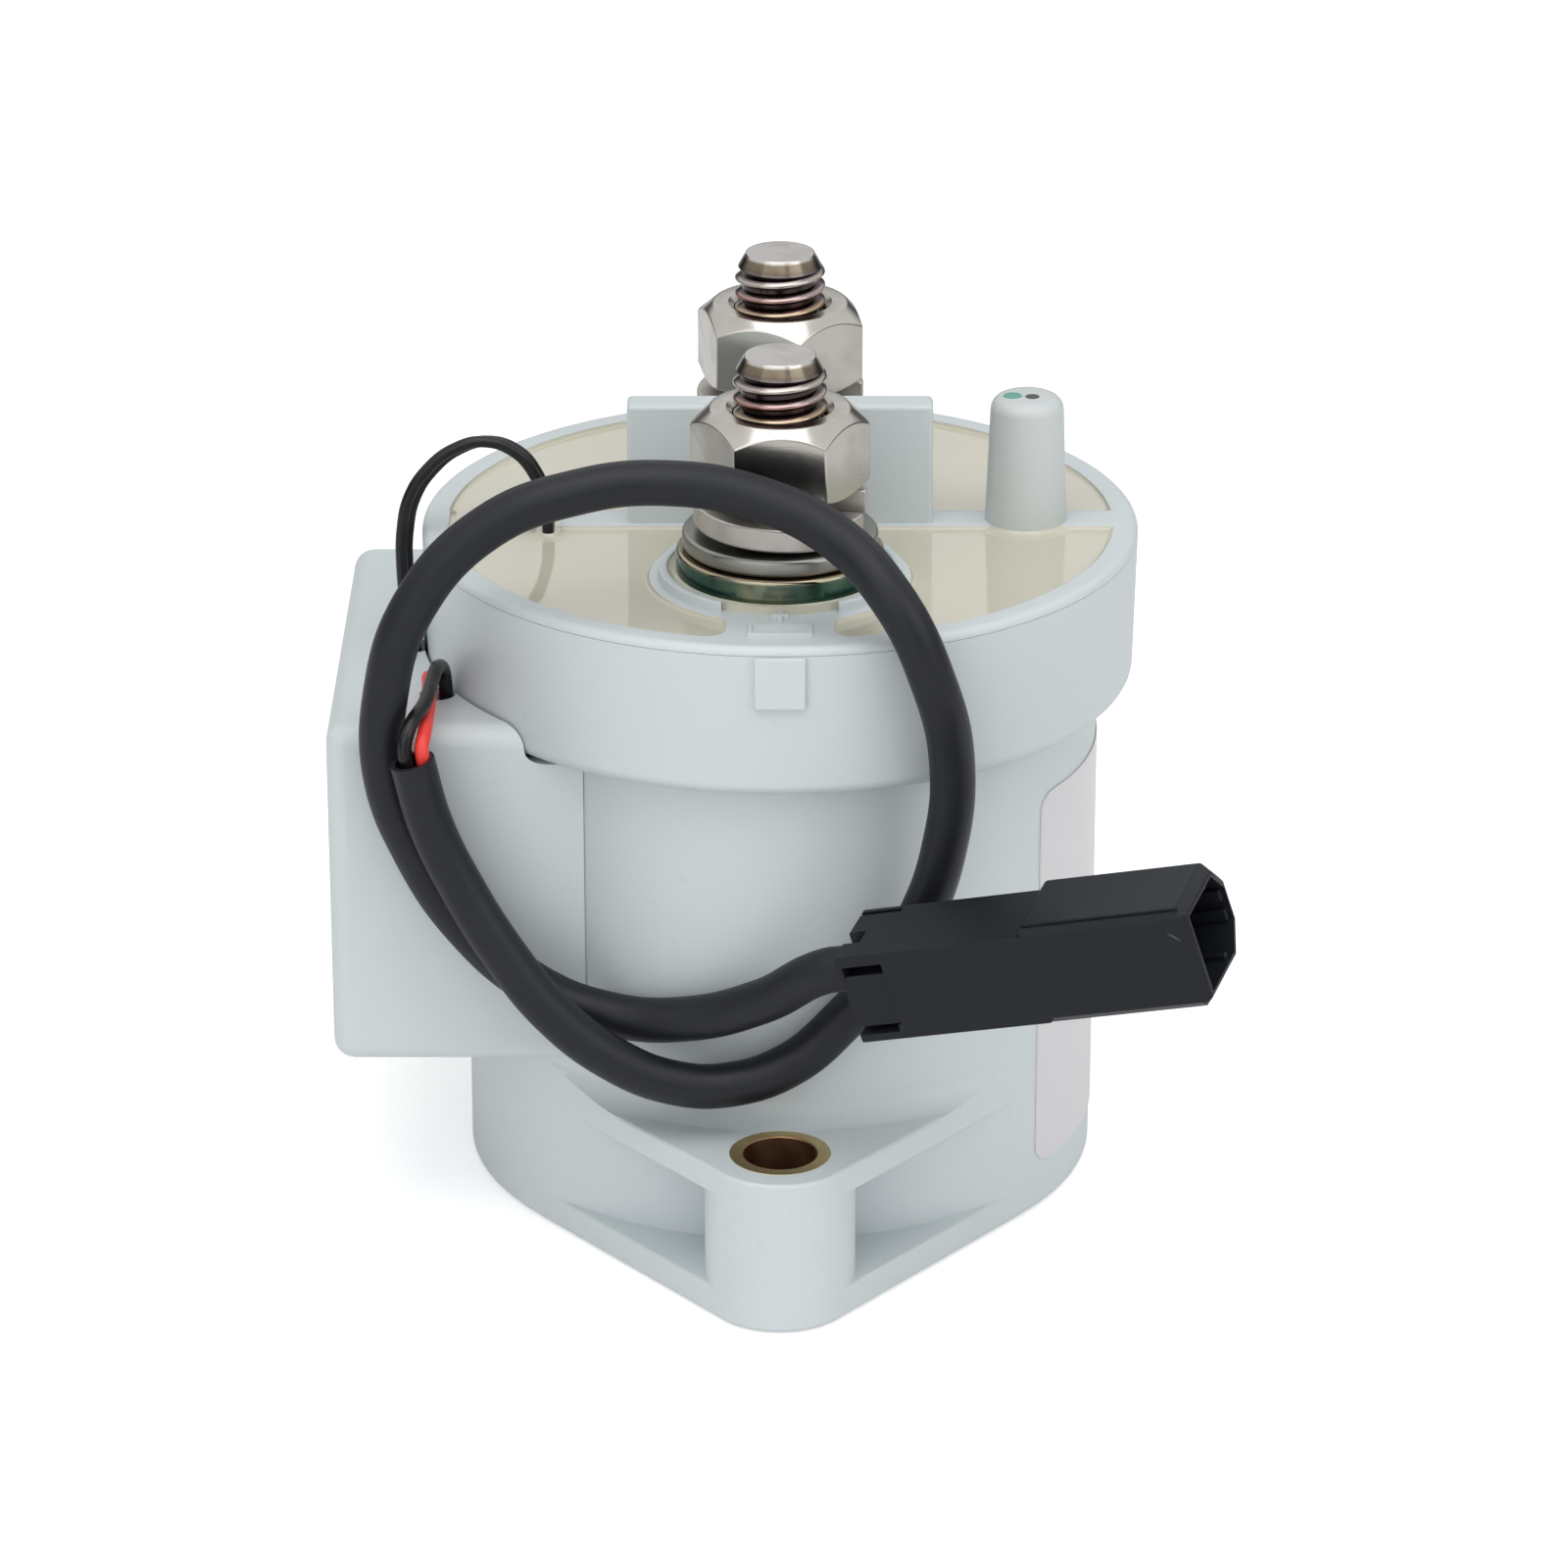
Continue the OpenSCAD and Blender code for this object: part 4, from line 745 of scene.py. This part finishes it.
for end, side, nut_turn in (("front", -1, 0), ("rear", 1, -17)):
    for shape, name, turn, steel, sharp in (
            (flat_washer, "flat_washer_", 0,
             plated_steel("washer_steel_" + end, side, (0.27, 0.27, 0.255), 0.26), 32),
            (split_washer, "spring_washer_", -12 - SPLIT / 2,
             plated_steel("split_steel_" + end, side, (0.50, 0.475, 0.45), 0.3, 0.75), 32),
            (nut, "nut_", nut_turn, plated_steel("nut_steel_" + end, side), 25)):
        piece = copy_of(shape, name + end, (0, side * STUD_Y, 0), turn_z=turn)
        finish_piece(piece, steel, "nut_metal", name + end, sharp=sharp)
for shape in (flat_washer, split_washer, nut):
    bpy.data.objects.remove(shape)


# Side box: a moulded shell with the coil's switching electronics, clipped to the side of the cup.
# It follows the cup and passes under the collar with a narrow open joint.
BOX_LOW, BOX_HIGH = (-37.9, -22.0, 16.5), (-13.65, 22.0, 47.2)
box = block("side_box", BOX_LOW, (0, BOX_HIGH[1], BOX_HIGH[2]), 1.8, 6)
WALL, JOINT = 1.8, 0.16
CUP_GAP_Z = COLLAR_Z - 0.38
carve(box, block("box_room", [v + WALL for v in BOX_LOW], (2, BOX_HIGH[1] - WALL, BOX_HIGH[2] - WALL), 0.8))
carve(box, lathe("cup_room", [(0, 5), (BODY_R + JOINT, 5), (BODY_R + JOINT, CUP_GAP_Z, 0.3),
                              (COLLAR_R, CUP_GAP_Z, 1.2), (COLLAR_R + 0.3, 60), (0, 60)], steps=160))
slice_off(box, ((BOX_HIGH[0], 0, 0), (1, 0, 0)))
COIL_NOTCH, LEAD_NOTCH, NOTCH_R, NOTCH_Z = (-31.305, -3.014), (-28.851, -14.072), 1.5, 43
for notch in (COIL_NOTCH, LEAD_NOTCH):
    carve(box, lathe("notch", [(0, NOTCH_Z), (NOTCH_R, NOTCH_Z), (NOTCH_R, BOX_HIGH[2] + 1.8),
                               (0, BOX_HIGH[2] + 1.8)], notch, steps=48))
finish_piece(box, pale_plastic, "housing_plastic", "side_box")
board_green = moulded("board_laminate", (0.02, 0.11, 0.045), 0.2, 0.3, 2500.0, 0.3, 0.3)
dress(board_green, "circuit_board")
dress(coil_nylon, "board_components")


# Label: a thin film with rounded corners glued round the right side of the cup, left without print.
# It is a slice of a ring, cut to its outline by a stencil from the side.
LABEL_IN_R, LABEL_R = BODY_R + 0.03, BODY_R + 0.14
LABEL_LOW, LABEL_HIGH, LABEL_WIDE, LABEL_CORNER = 4.2, 38.8, 34.7, 1.6
film_strip = lathe("blank_label", [(LABEL_IN_R, 0.5), (LABEL_R, 0.5), (LABEL_R, 44), (LABEL_IN_R, 44)],
                   closed=True, steps=256)
label_half = BODY_R * math.sin(LABEL_WIDE / 2 / BODY_R)
sheet_plan = round_corners([(x, z, LABEL_CORNER) for x, z in (
    (-label_half, LABEL_LOW), (label_half, LABEL_LOW), (label_half, LABEL_HIGH), (-label_half, LABEL_HIGH))],
    True, 8)
stencil = prism("label_stencil", sheet_plan, 0, 40)
stencil.rotation_euler = (math.radians(90), 0, math.radians(90))
select_only(stencil)
bpy.ops.object.transform_apply()
carve(film_strip, stencil, "INTERSECT")
label_film = moulded("label_film", (0.66, 0.645, 0.665), 0.03, 0.05, 900.0, 0.28, 0.05)
finish_piece(film_strip, label_film, "label_film", "blank_label")


# Coil leads: a pair of thin black wires from the potting, looped over the rim into the side box.
# Solid insulation with a soft gloss; the front one stands a little higher.
def add_object(name, data):
    obj = bpy.data.objects.new(name, data)
    bpy.context.collection.objects.link(obj)
    return obj


def cord_curve(name, points, diameter, material):
    """A round cord on one smooth spline through points in millimetres."""
    line = bpy.data.curves.new(name, "CURVE")
    line.dimensions = "3D"
    spline = line.splines.new("BEZIER")
    spline.bezier_points.add(len(points) - 1)
    for knot, p in zip(spline.bezier_points, points):
        knot.co = [v * MM for v in p]
        knot.handle_left_type = knot.handle_right_type = "AUTO"
    line.resolution_u = 10
    line.bevel_depth = diameter * MM / 2
    line.bevel_resolution = 8
    line.use_fill_caps = True
    line.materials.append(material)
    return add_object(name, line)


def finish_cord(obj, node):
    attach(obj, "frame")
    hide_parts(node)


black_wire = moulded("black_wire", (0.0065, 0.0068, 0.0085), 0.2, 0.0, 3000.0, 0.28, 0.1, 0.35)
red_wire = moulded("red_wire", (0.78, 0.04, 0.032), 0.12, 0.0, 3000.0, 0.36, 0.1)
COIL_LEAD_D, COIL_LEAD_PITCH, BOARD_X = 1.0, 1.05, -33.3
coil_route = [(-19.7, 57.3), (-19.8, 60), (-20.6, 62.7), (-22.3, 64.8), (-24.8, 65.6), (-27.2, 64.9),
              (-29.4, 63.1), (-31, 60.6), (-31.7, 57.5), (-31.8, 54.1), (-31.6, 50.6), (COIL_NOTCH[0], 47.6),
              (COIL_NOTCH[0], 45), (COIL_NOTCH[0] - 0.6, 42.7), (BOARD_X + 0.55, 40.2), (BOARD_X + 0.55, 38.2)]
for name, side, spread in (("coil_lead_a", -1, 0.45), ("coil_lead_b", 1, 0.0)):
    lifts = [spread * math.sin(math.pi * i / (len(coil_route) - 1)) for i in range(len(coil_route))]
    points = [(x - lift, COIL_NOTCH[1] + side * COIL_LEAD_PITCH / 2, z + lift)
              for (x, z), lift in zip(coil_route, lifts)]
    lead = cord_curve(name, points, COIL_LEAD_D, black_wire)
    finish_cord(lead, name)


# Supply leads: a red and a black wire out of the side box, over its edge and into the sleeve.
# Stranded wire in soft plastic; the pair makes half a turn, so the black one arches over the red.
LEAD_D, LEAD_PITCH = 1.2, 1.42
lead_route = ([Vector((*LEAD_NOTCH, BOX_HIGH[2] - drop)) for drop in (14, 12, 10, 8, 6, 4, 2, -0.6)]
              + [Vector(p) for p in (
                  (-28.9, -14.9, 49.3), (-29, -17, 50.1), (-29.1, -20, 49.9), (-29.3, -23.4, 49.5),
                  (-29.95, -26.6, 48.75), (-30.2, -27.45, 47.55), (-29.75, -27.6, 45.4))])
lead_turn = [0] * 8 + [30, 60, 80, 95, 150, 180, 180]
for name, side, wire, slot in (("lead_red", 1, red_wire, "wire_red"),
                               ("lead_black", -1, black_wire, "wire_black")):
    points = []
    for i, p in enumerate(lead_route):
        ahead = lead_route[min(i + 1, len(lead_route) - 1)] - lead_route[max(i - 1, 0)]
        outward = Vector((0, ahead.z, -ahead.y)).normalized()
        turn = math.radians(lead_turn[i])
        points.append(p - side * LEAD_PITCH / 2 * (math.cos(turn) * Vector((1, 0, 0)) + math.sin(turn) * outward))
    lead = cord_curve(name, points, LEAD_D, wire)
    finish_cord(lead, name)


# Connector: a black nylon socket housing with a keyed hood, a retainer in its back and two pins.
# It is drawn with its mouth at the origin facing +X, then turned into place on the cable's end.
MOUTH, TURN = (34.8, -47.0, 40.2), (9.0, -15.6, -21.7)
LENGTH, HOOD, HALF_W, HALF_H = 31.0, 15.0, 5.1, 4.6
connector_turn = Euler([math.radians(v) for v in TURN]).to_matrix()
connector_nylon = moulded("connector_nylon", (0.0105, 0.0125, 0.0165), 0.15, 0.0, 3600.0, 0.42, 0.3, 0.2)
nylon_tree = connector_nylon.node_tree
nylon_shader = nylon_tree.nodes["Principled BSDF"]
scuff_spot = Vector(MOUTH) + connector_turn @ Vector((-1.3, -HALF_W, 2.4))
scuff_place = add_node(nylon_tree, "ShaderNodeMapping", {
    "Vector": add_node(nylon_tree, "ShaderNodeTexCoord").outputs["Object"], "Location": scuff_spot * MM,
    "Rotation": (connector_turn @ Matrix.Rotation(math.radians(42), 3, "Y")).to_euler(),
    "Scale": (0.8 * MM, 0.5 * MM, 0.12 * MM)}, vector_type="TEXTURE")
scuff = add_node(nylon_tree, "ShaderNodeTexGradient", {"Vector": scuff_place.outputs[0]},
                 gradient_type="SPHERICAL")
clean_tone = nylon_shader.inputs["Base Color"].links[0].from_socket
set_inputs(nylon_tree, nylon_shader, {
    "Base Color": mix_colours(nylon_tree, scuff.outputs["Fac"], clean_tone, (0.10, 0.11, 0.11, 1))})


def hood_plan(inset, low, high, chamfer_y, chamfer_z):
    """The connector's cross section, seen from the mouth, chamfered on its far side."""
    near, far = -HALF_W + inset, HALF_W - inset
    return [(near, low), (far - chamfer_y, low), (far, low + chamfer_z), (far, high - chamfer_z),
            (far - chamfer_y, high), (near, high)]


def along_x(name, plan, x0, x1):
    """A cross section drawn in Y and Z and extruded along X."""
    return extruded(name, [(x0, y, z) for y, z in plan], (x1 - x0, 0, 0))


def at_connector(obj):
    select_only(obj)
    obj.location = MOUTH
    obj.rotation_euler = [math.radians(v) for v in TURN]
    bpy.ops.object.transform_apply()
    return obj


shell = along_x("connector_housing", hood_plan(0, -HALF_H, HALF_H, 2.3, 2.6), -HOOD, 0)
pick_edges(shell, lambda p: p.x < -HOOD + 0.01 and p.z > HALF_H - 0.01)
round_picked(0.75, 1)
soften(shell, 0.2)
REAR_LOW, REAR_HIGH, BACK = -HALF_H + 0.3, HALF_H - 0.8, -LENGTH
rear_body = along_x("rear_body", hood_plan(0.03, REAR_LOW, REAR_HIGH, 2.3, 2.6), BACK, -HOOD + 1)
carve(shell, soften(rear_body, 0.18), "UNION")
carve(shell, along_x("socket", hood_plan(1.1, -HALF_H + 1.1, HALF_H - 1.1, 1.8, 2.1), -13, 1))
for y, z in ((1.3, HALF_H - 1.15), (3.85, 0.9), (3.85, -0.9), (1.2, -HALF_H + 1.1), (-1.6, HALF_H - 1.05)):
    carve(shell, block("key_rib", (-12.8, y - 0.35, z - 0.5), (-0.35, y + 0.35, z + 0.5), 0.12), "UNION")
cuts = {"edge_groove": ((-14.2, -HALF_W + 0.5, HALF_H - 0.25), (-0.6, -HALF_W + 0.8, HALF_H + 1)),
        "back_pocket": ((BACK - 1, -3.22, -2.76), (BACK + 3, 3.22, 2.76)),
        "near_window": ((BACK + 0.5, -HALF_W - 1, 1.85), (BACK + 4, -HALF_W + 2, 2.85)),
        "near_slit": ((BACK - 1, -HALF_W - 1, -3.55), (BACK + 3.7, -HALF_W + 2, -2.9)),
        "tongue_recess": ((BACK - 1, -HALF_W - 1, -2.9), (BACK + 4, -HALF_W + 0.32, 1.85)),
        "top_slit": ((BACK - 1, 1.79, 0), (BACK + 3.8, 2.29, 5)),
        "top_notch": ((BACK - 1, -2.7, 2.5), (BACK + 1.6, -0.9, 5)),
        "pin_bore_near": ((-29, -2.65, -0.75), (-12, -1.15, 0.75)),
        "pin_bore_far": ((-29, 1.15, -0.75), (-12, 2.65, 0.75))}
for name, (low, high) in cuts.items():
    carve(shell, block(name, low, high))
finish_piece(at_connector(shell), connector_nylon, "connector_black", "connector_housing")
back = block("connector_retainer", (BACK, -3.17, -2.71), (BACK + 2.95, 3.17, 2.71), 0.3)
finish_piece(at_connector(back), connector_nylon, "connector_black", "connector_retainer")
tin = turned_metal("pin_tin", (0.60, 0.56, 0.48), (0.45, 0.40, 0.30), 0.4, 400.0, 0.25, 0.1)
dress(tin, "connector_pins")
for name, y, z, wire, slot in (("red_wire_end", -0.5, -0.5, red_wire, "wire_red"),
                               ("black_wire_end", 0.5, 0.5, black_wire, "wire_black")):
    stub = cylinder(name, 24, LEAD_D / 2, 1.9, (BACK - 0.85, y, z), (0, math.pi / 2, 0))
    finish_piece(at_connector(stub), wire, slot)


# Sleeve: a black extruded tube over both supply leads, cut square at its mouth by the box.
# It springs into one loop across the front of the cup and ends at the connector.
SLEEVE_D, SLEEVE_WALL, MOUTH_DEPTH = 3.8, 0.42, 2
along = connector_turn @ Vector((1, 0, 0))
sleeve_route = [
    (-30.3, -27.7, 46.7), (-28.9, -27.4, 40.9), (-26.5, -27.8, 35.6), (-23, -29, 30), (-19, -30, 25),
    (-14, -30.5, 21), (-9, -30.5, 18.8), (-4, -30, 18.4), (1, -29.5, 20.1), (5.2, -29, 23.8), (8.8, -29, 28.3),
    (11.6, -29, 33.2), (13.5, -29.5, 39.5), (14.1, -30.3, 47.3), (12.4, -31.7, 55.4), (9, -30.6, 62.25),
    (4.2, -26.4, 66.1), (-2, -23.8, 68.3), (-9.5, -23, 69.3), (-16.5, -23.5, 68.7), (-23.8, -24, 65.9),
    (-30, -24.5, 59.2), (-32.6, -24.5, 51), (-32.7, -24.5, 44), (-30.4, -24.5, 37.2), (-26.3, -24.5, 30.4),
    (-20.6, -24.5, 25), (-14.3, -26, 23), (-8, -28.5, 23.7), (-1.5, -31.5, 26.7),
    tuple(Vector(MOUTH) - (LENGTH + 3.7) * along), tuple(Vector(MOUTH) - (LENGTH + 1.2) * along)]
tube_black = moulded("sleeve_black", (0.0120, 0.0132, 0.0178), 0.25, 0.0, 2600.0, 0.45, 0.25, 0.28)
sleeve = cord_curve("sleeve", sleeve_route, SLEEVE_D, tube_black)
select_only(sleeve)
bpy.ops.object.convert(target="MESH")
sleeve = bpy.context.object
bpy.ops.object.mode_set(mode="EDIT")
bpy.ops.mesh.select_all(action="SELECT")
bpy.ops.mesh.remove_doubles(threshold=0.001 * MM)
bpy.ops.mesh.normals_make_consistent(inside=False)
bpy.ops.object.mode_set(mode="OBJECT")
mouth = Vector(sleeve_route[0]) * MM
inward = (Vector(sleeve_route[1]) - Vector(sleeve_route[0])).normalized()
pick_faces(sleeve, lambda face: (face.normal.dot(inward) < -0.99
                                 and (face.center - mouth).length < SLEEVE_D * MM / 2))
bpy.ops.mesh.dissolve_faces()
bpy.ops.mesh.inset(thickness=SLEEVE_WALL * MM)
bpy.ops.mesh.extrude_region_move(TRANSFORM_OT_translate={"value": inward * MOUTH_DEPTH * MM})
bpy.ops.object.mode_set(mode="OBJECT")
bpy.ops.object.shade_smooth_by_angle(angle=math.radians(40))
finish_cord(sleeve, "sleeve")


# Studio: a pale floor, four soft lamps and a soft surround, with the camera at the photo's angle.
# Floor and surround look white to the camera; in reflections the surround is dark near the floor.
def area_lamp(name, place, target, size, watts):
    lamp = bpy.data.lights.new(name, "AREA")
    lamp.shape = "RECTANGLE"
    lamp.size, lamp.size_y = size
    lamp.energy = watts
    obj = add_object(name, lamp)
    obj.location = place
    obj.rotation_euler = (Vector(target) - Vector(place)).to_track_quat("-Z", "Y").to_euler()


area_lamp("key_lamp", (-0.25, -0.62, 0.6), (0, 0, 0.04), (0.9, 0.9), 1.65)
area_lamp("fill_lamp", (0.6, -0.45, 0.4), (0, 0, 0.04), (0.5, 0.6), 1.25)
area_lamp("low_lamp", (-0.35, -0.7, 0.15), (0, 0, 0.03), (0.6, 0.3), 0.48)
area_lamp("top_lamp", (0, -0.2, 0.8), (0, 0, 0.05), (0.7, 0.7), 2.45)

bpy.ops.object.select_all(action="DESELECT")
bpy.ops.mesh.primitive_plane_add(size=4, location=(0, 0, -0.0002))
floor = bpy.context.object
floor.name = "floor"
bpy.ops.object.transform_apply()
floor_white, floor_tree, floor_shader = new_material("floor_white")


def seen_rays(tree, direct, mirrored):
    """A share for rays from the camera, one for reflections and glass, and none for the rest."""
    ray = add_node(tree, "ShaderNodeLightPath").outputs
    bounce = calc(tree, "MAXIMUM", ray["Is Glossy Ray"], ray["Is Transmission Ray"])
    return calc(tree, "MAXIMUM", calc(tree, "MULTIPLY", bounce, mirrored),
                calc(tree, "MULTIPLY", ray["Is Camera Ray"], direct))


set_inputs(floor_tree, floor_shader, {
    "Base Color": (0.95, 0.95, 0.95, 1), "Roughness": 0.9, "Specular IOR Level": 0.0,
    "Emission Color": (1, 1, 1, 1), "Emission Strength": seen_rays(floor_tree, 0.4, 0.05)})
floor.data.materials.append(floor_white)

world = bpy.data.worlds.new("studio")
bpy.context.scene.world = world
world.use_nodes = True
sky = world.node_tree
soft = sky.nodes["Background"]
set_inputs(sky, soft, {"Color": (1, 1, 1, 1), "Strength": 0.5})
heading = add_node(sky, "ShaderNodeTexCoord").outputs["Generated"]
climb = add_node(sky, "ShaderNodeSeparateXYZ", {0: heading}).outputs[2]
tent = remap(sky, climb, 0.16, 0.33, 0.1, 1.0)
white = add_node(sky, "ShaderNodeBackground", {"Color": (1, 1, 1, 1), "Strength": seen_rays(sky, 1.0, tent)})
blend = add_node(sky, "ShaderNodeMixShader",
                 {0: seen_rays(sky, 1.0, 1.0), 1: soft.outputs[0], 2: white.outputs[0]})
sky.links.new(blend.outputs[0], sky.nodes["World Output"].inputs["Surface"])

camera_data = bpy.data.cameras.new("camera")
camera_data.sensor_width = 36.0
camera_data.lens = 150.73
camera_data.shift_x = 0.0025
camera_data.clip_start = 0.01
camera = add_object("camera", camera_data)
camera.location = (0, -0.52714, 0.25291)
camera.rotation_euler = (Vector((0, 0, 0.03309)) - camera.location).to_track_quat("-Z", "Y").to_euler()
bpy.context.scene.camera = camera
bpy.context.scene.view_settings.view_transform = "Standard"
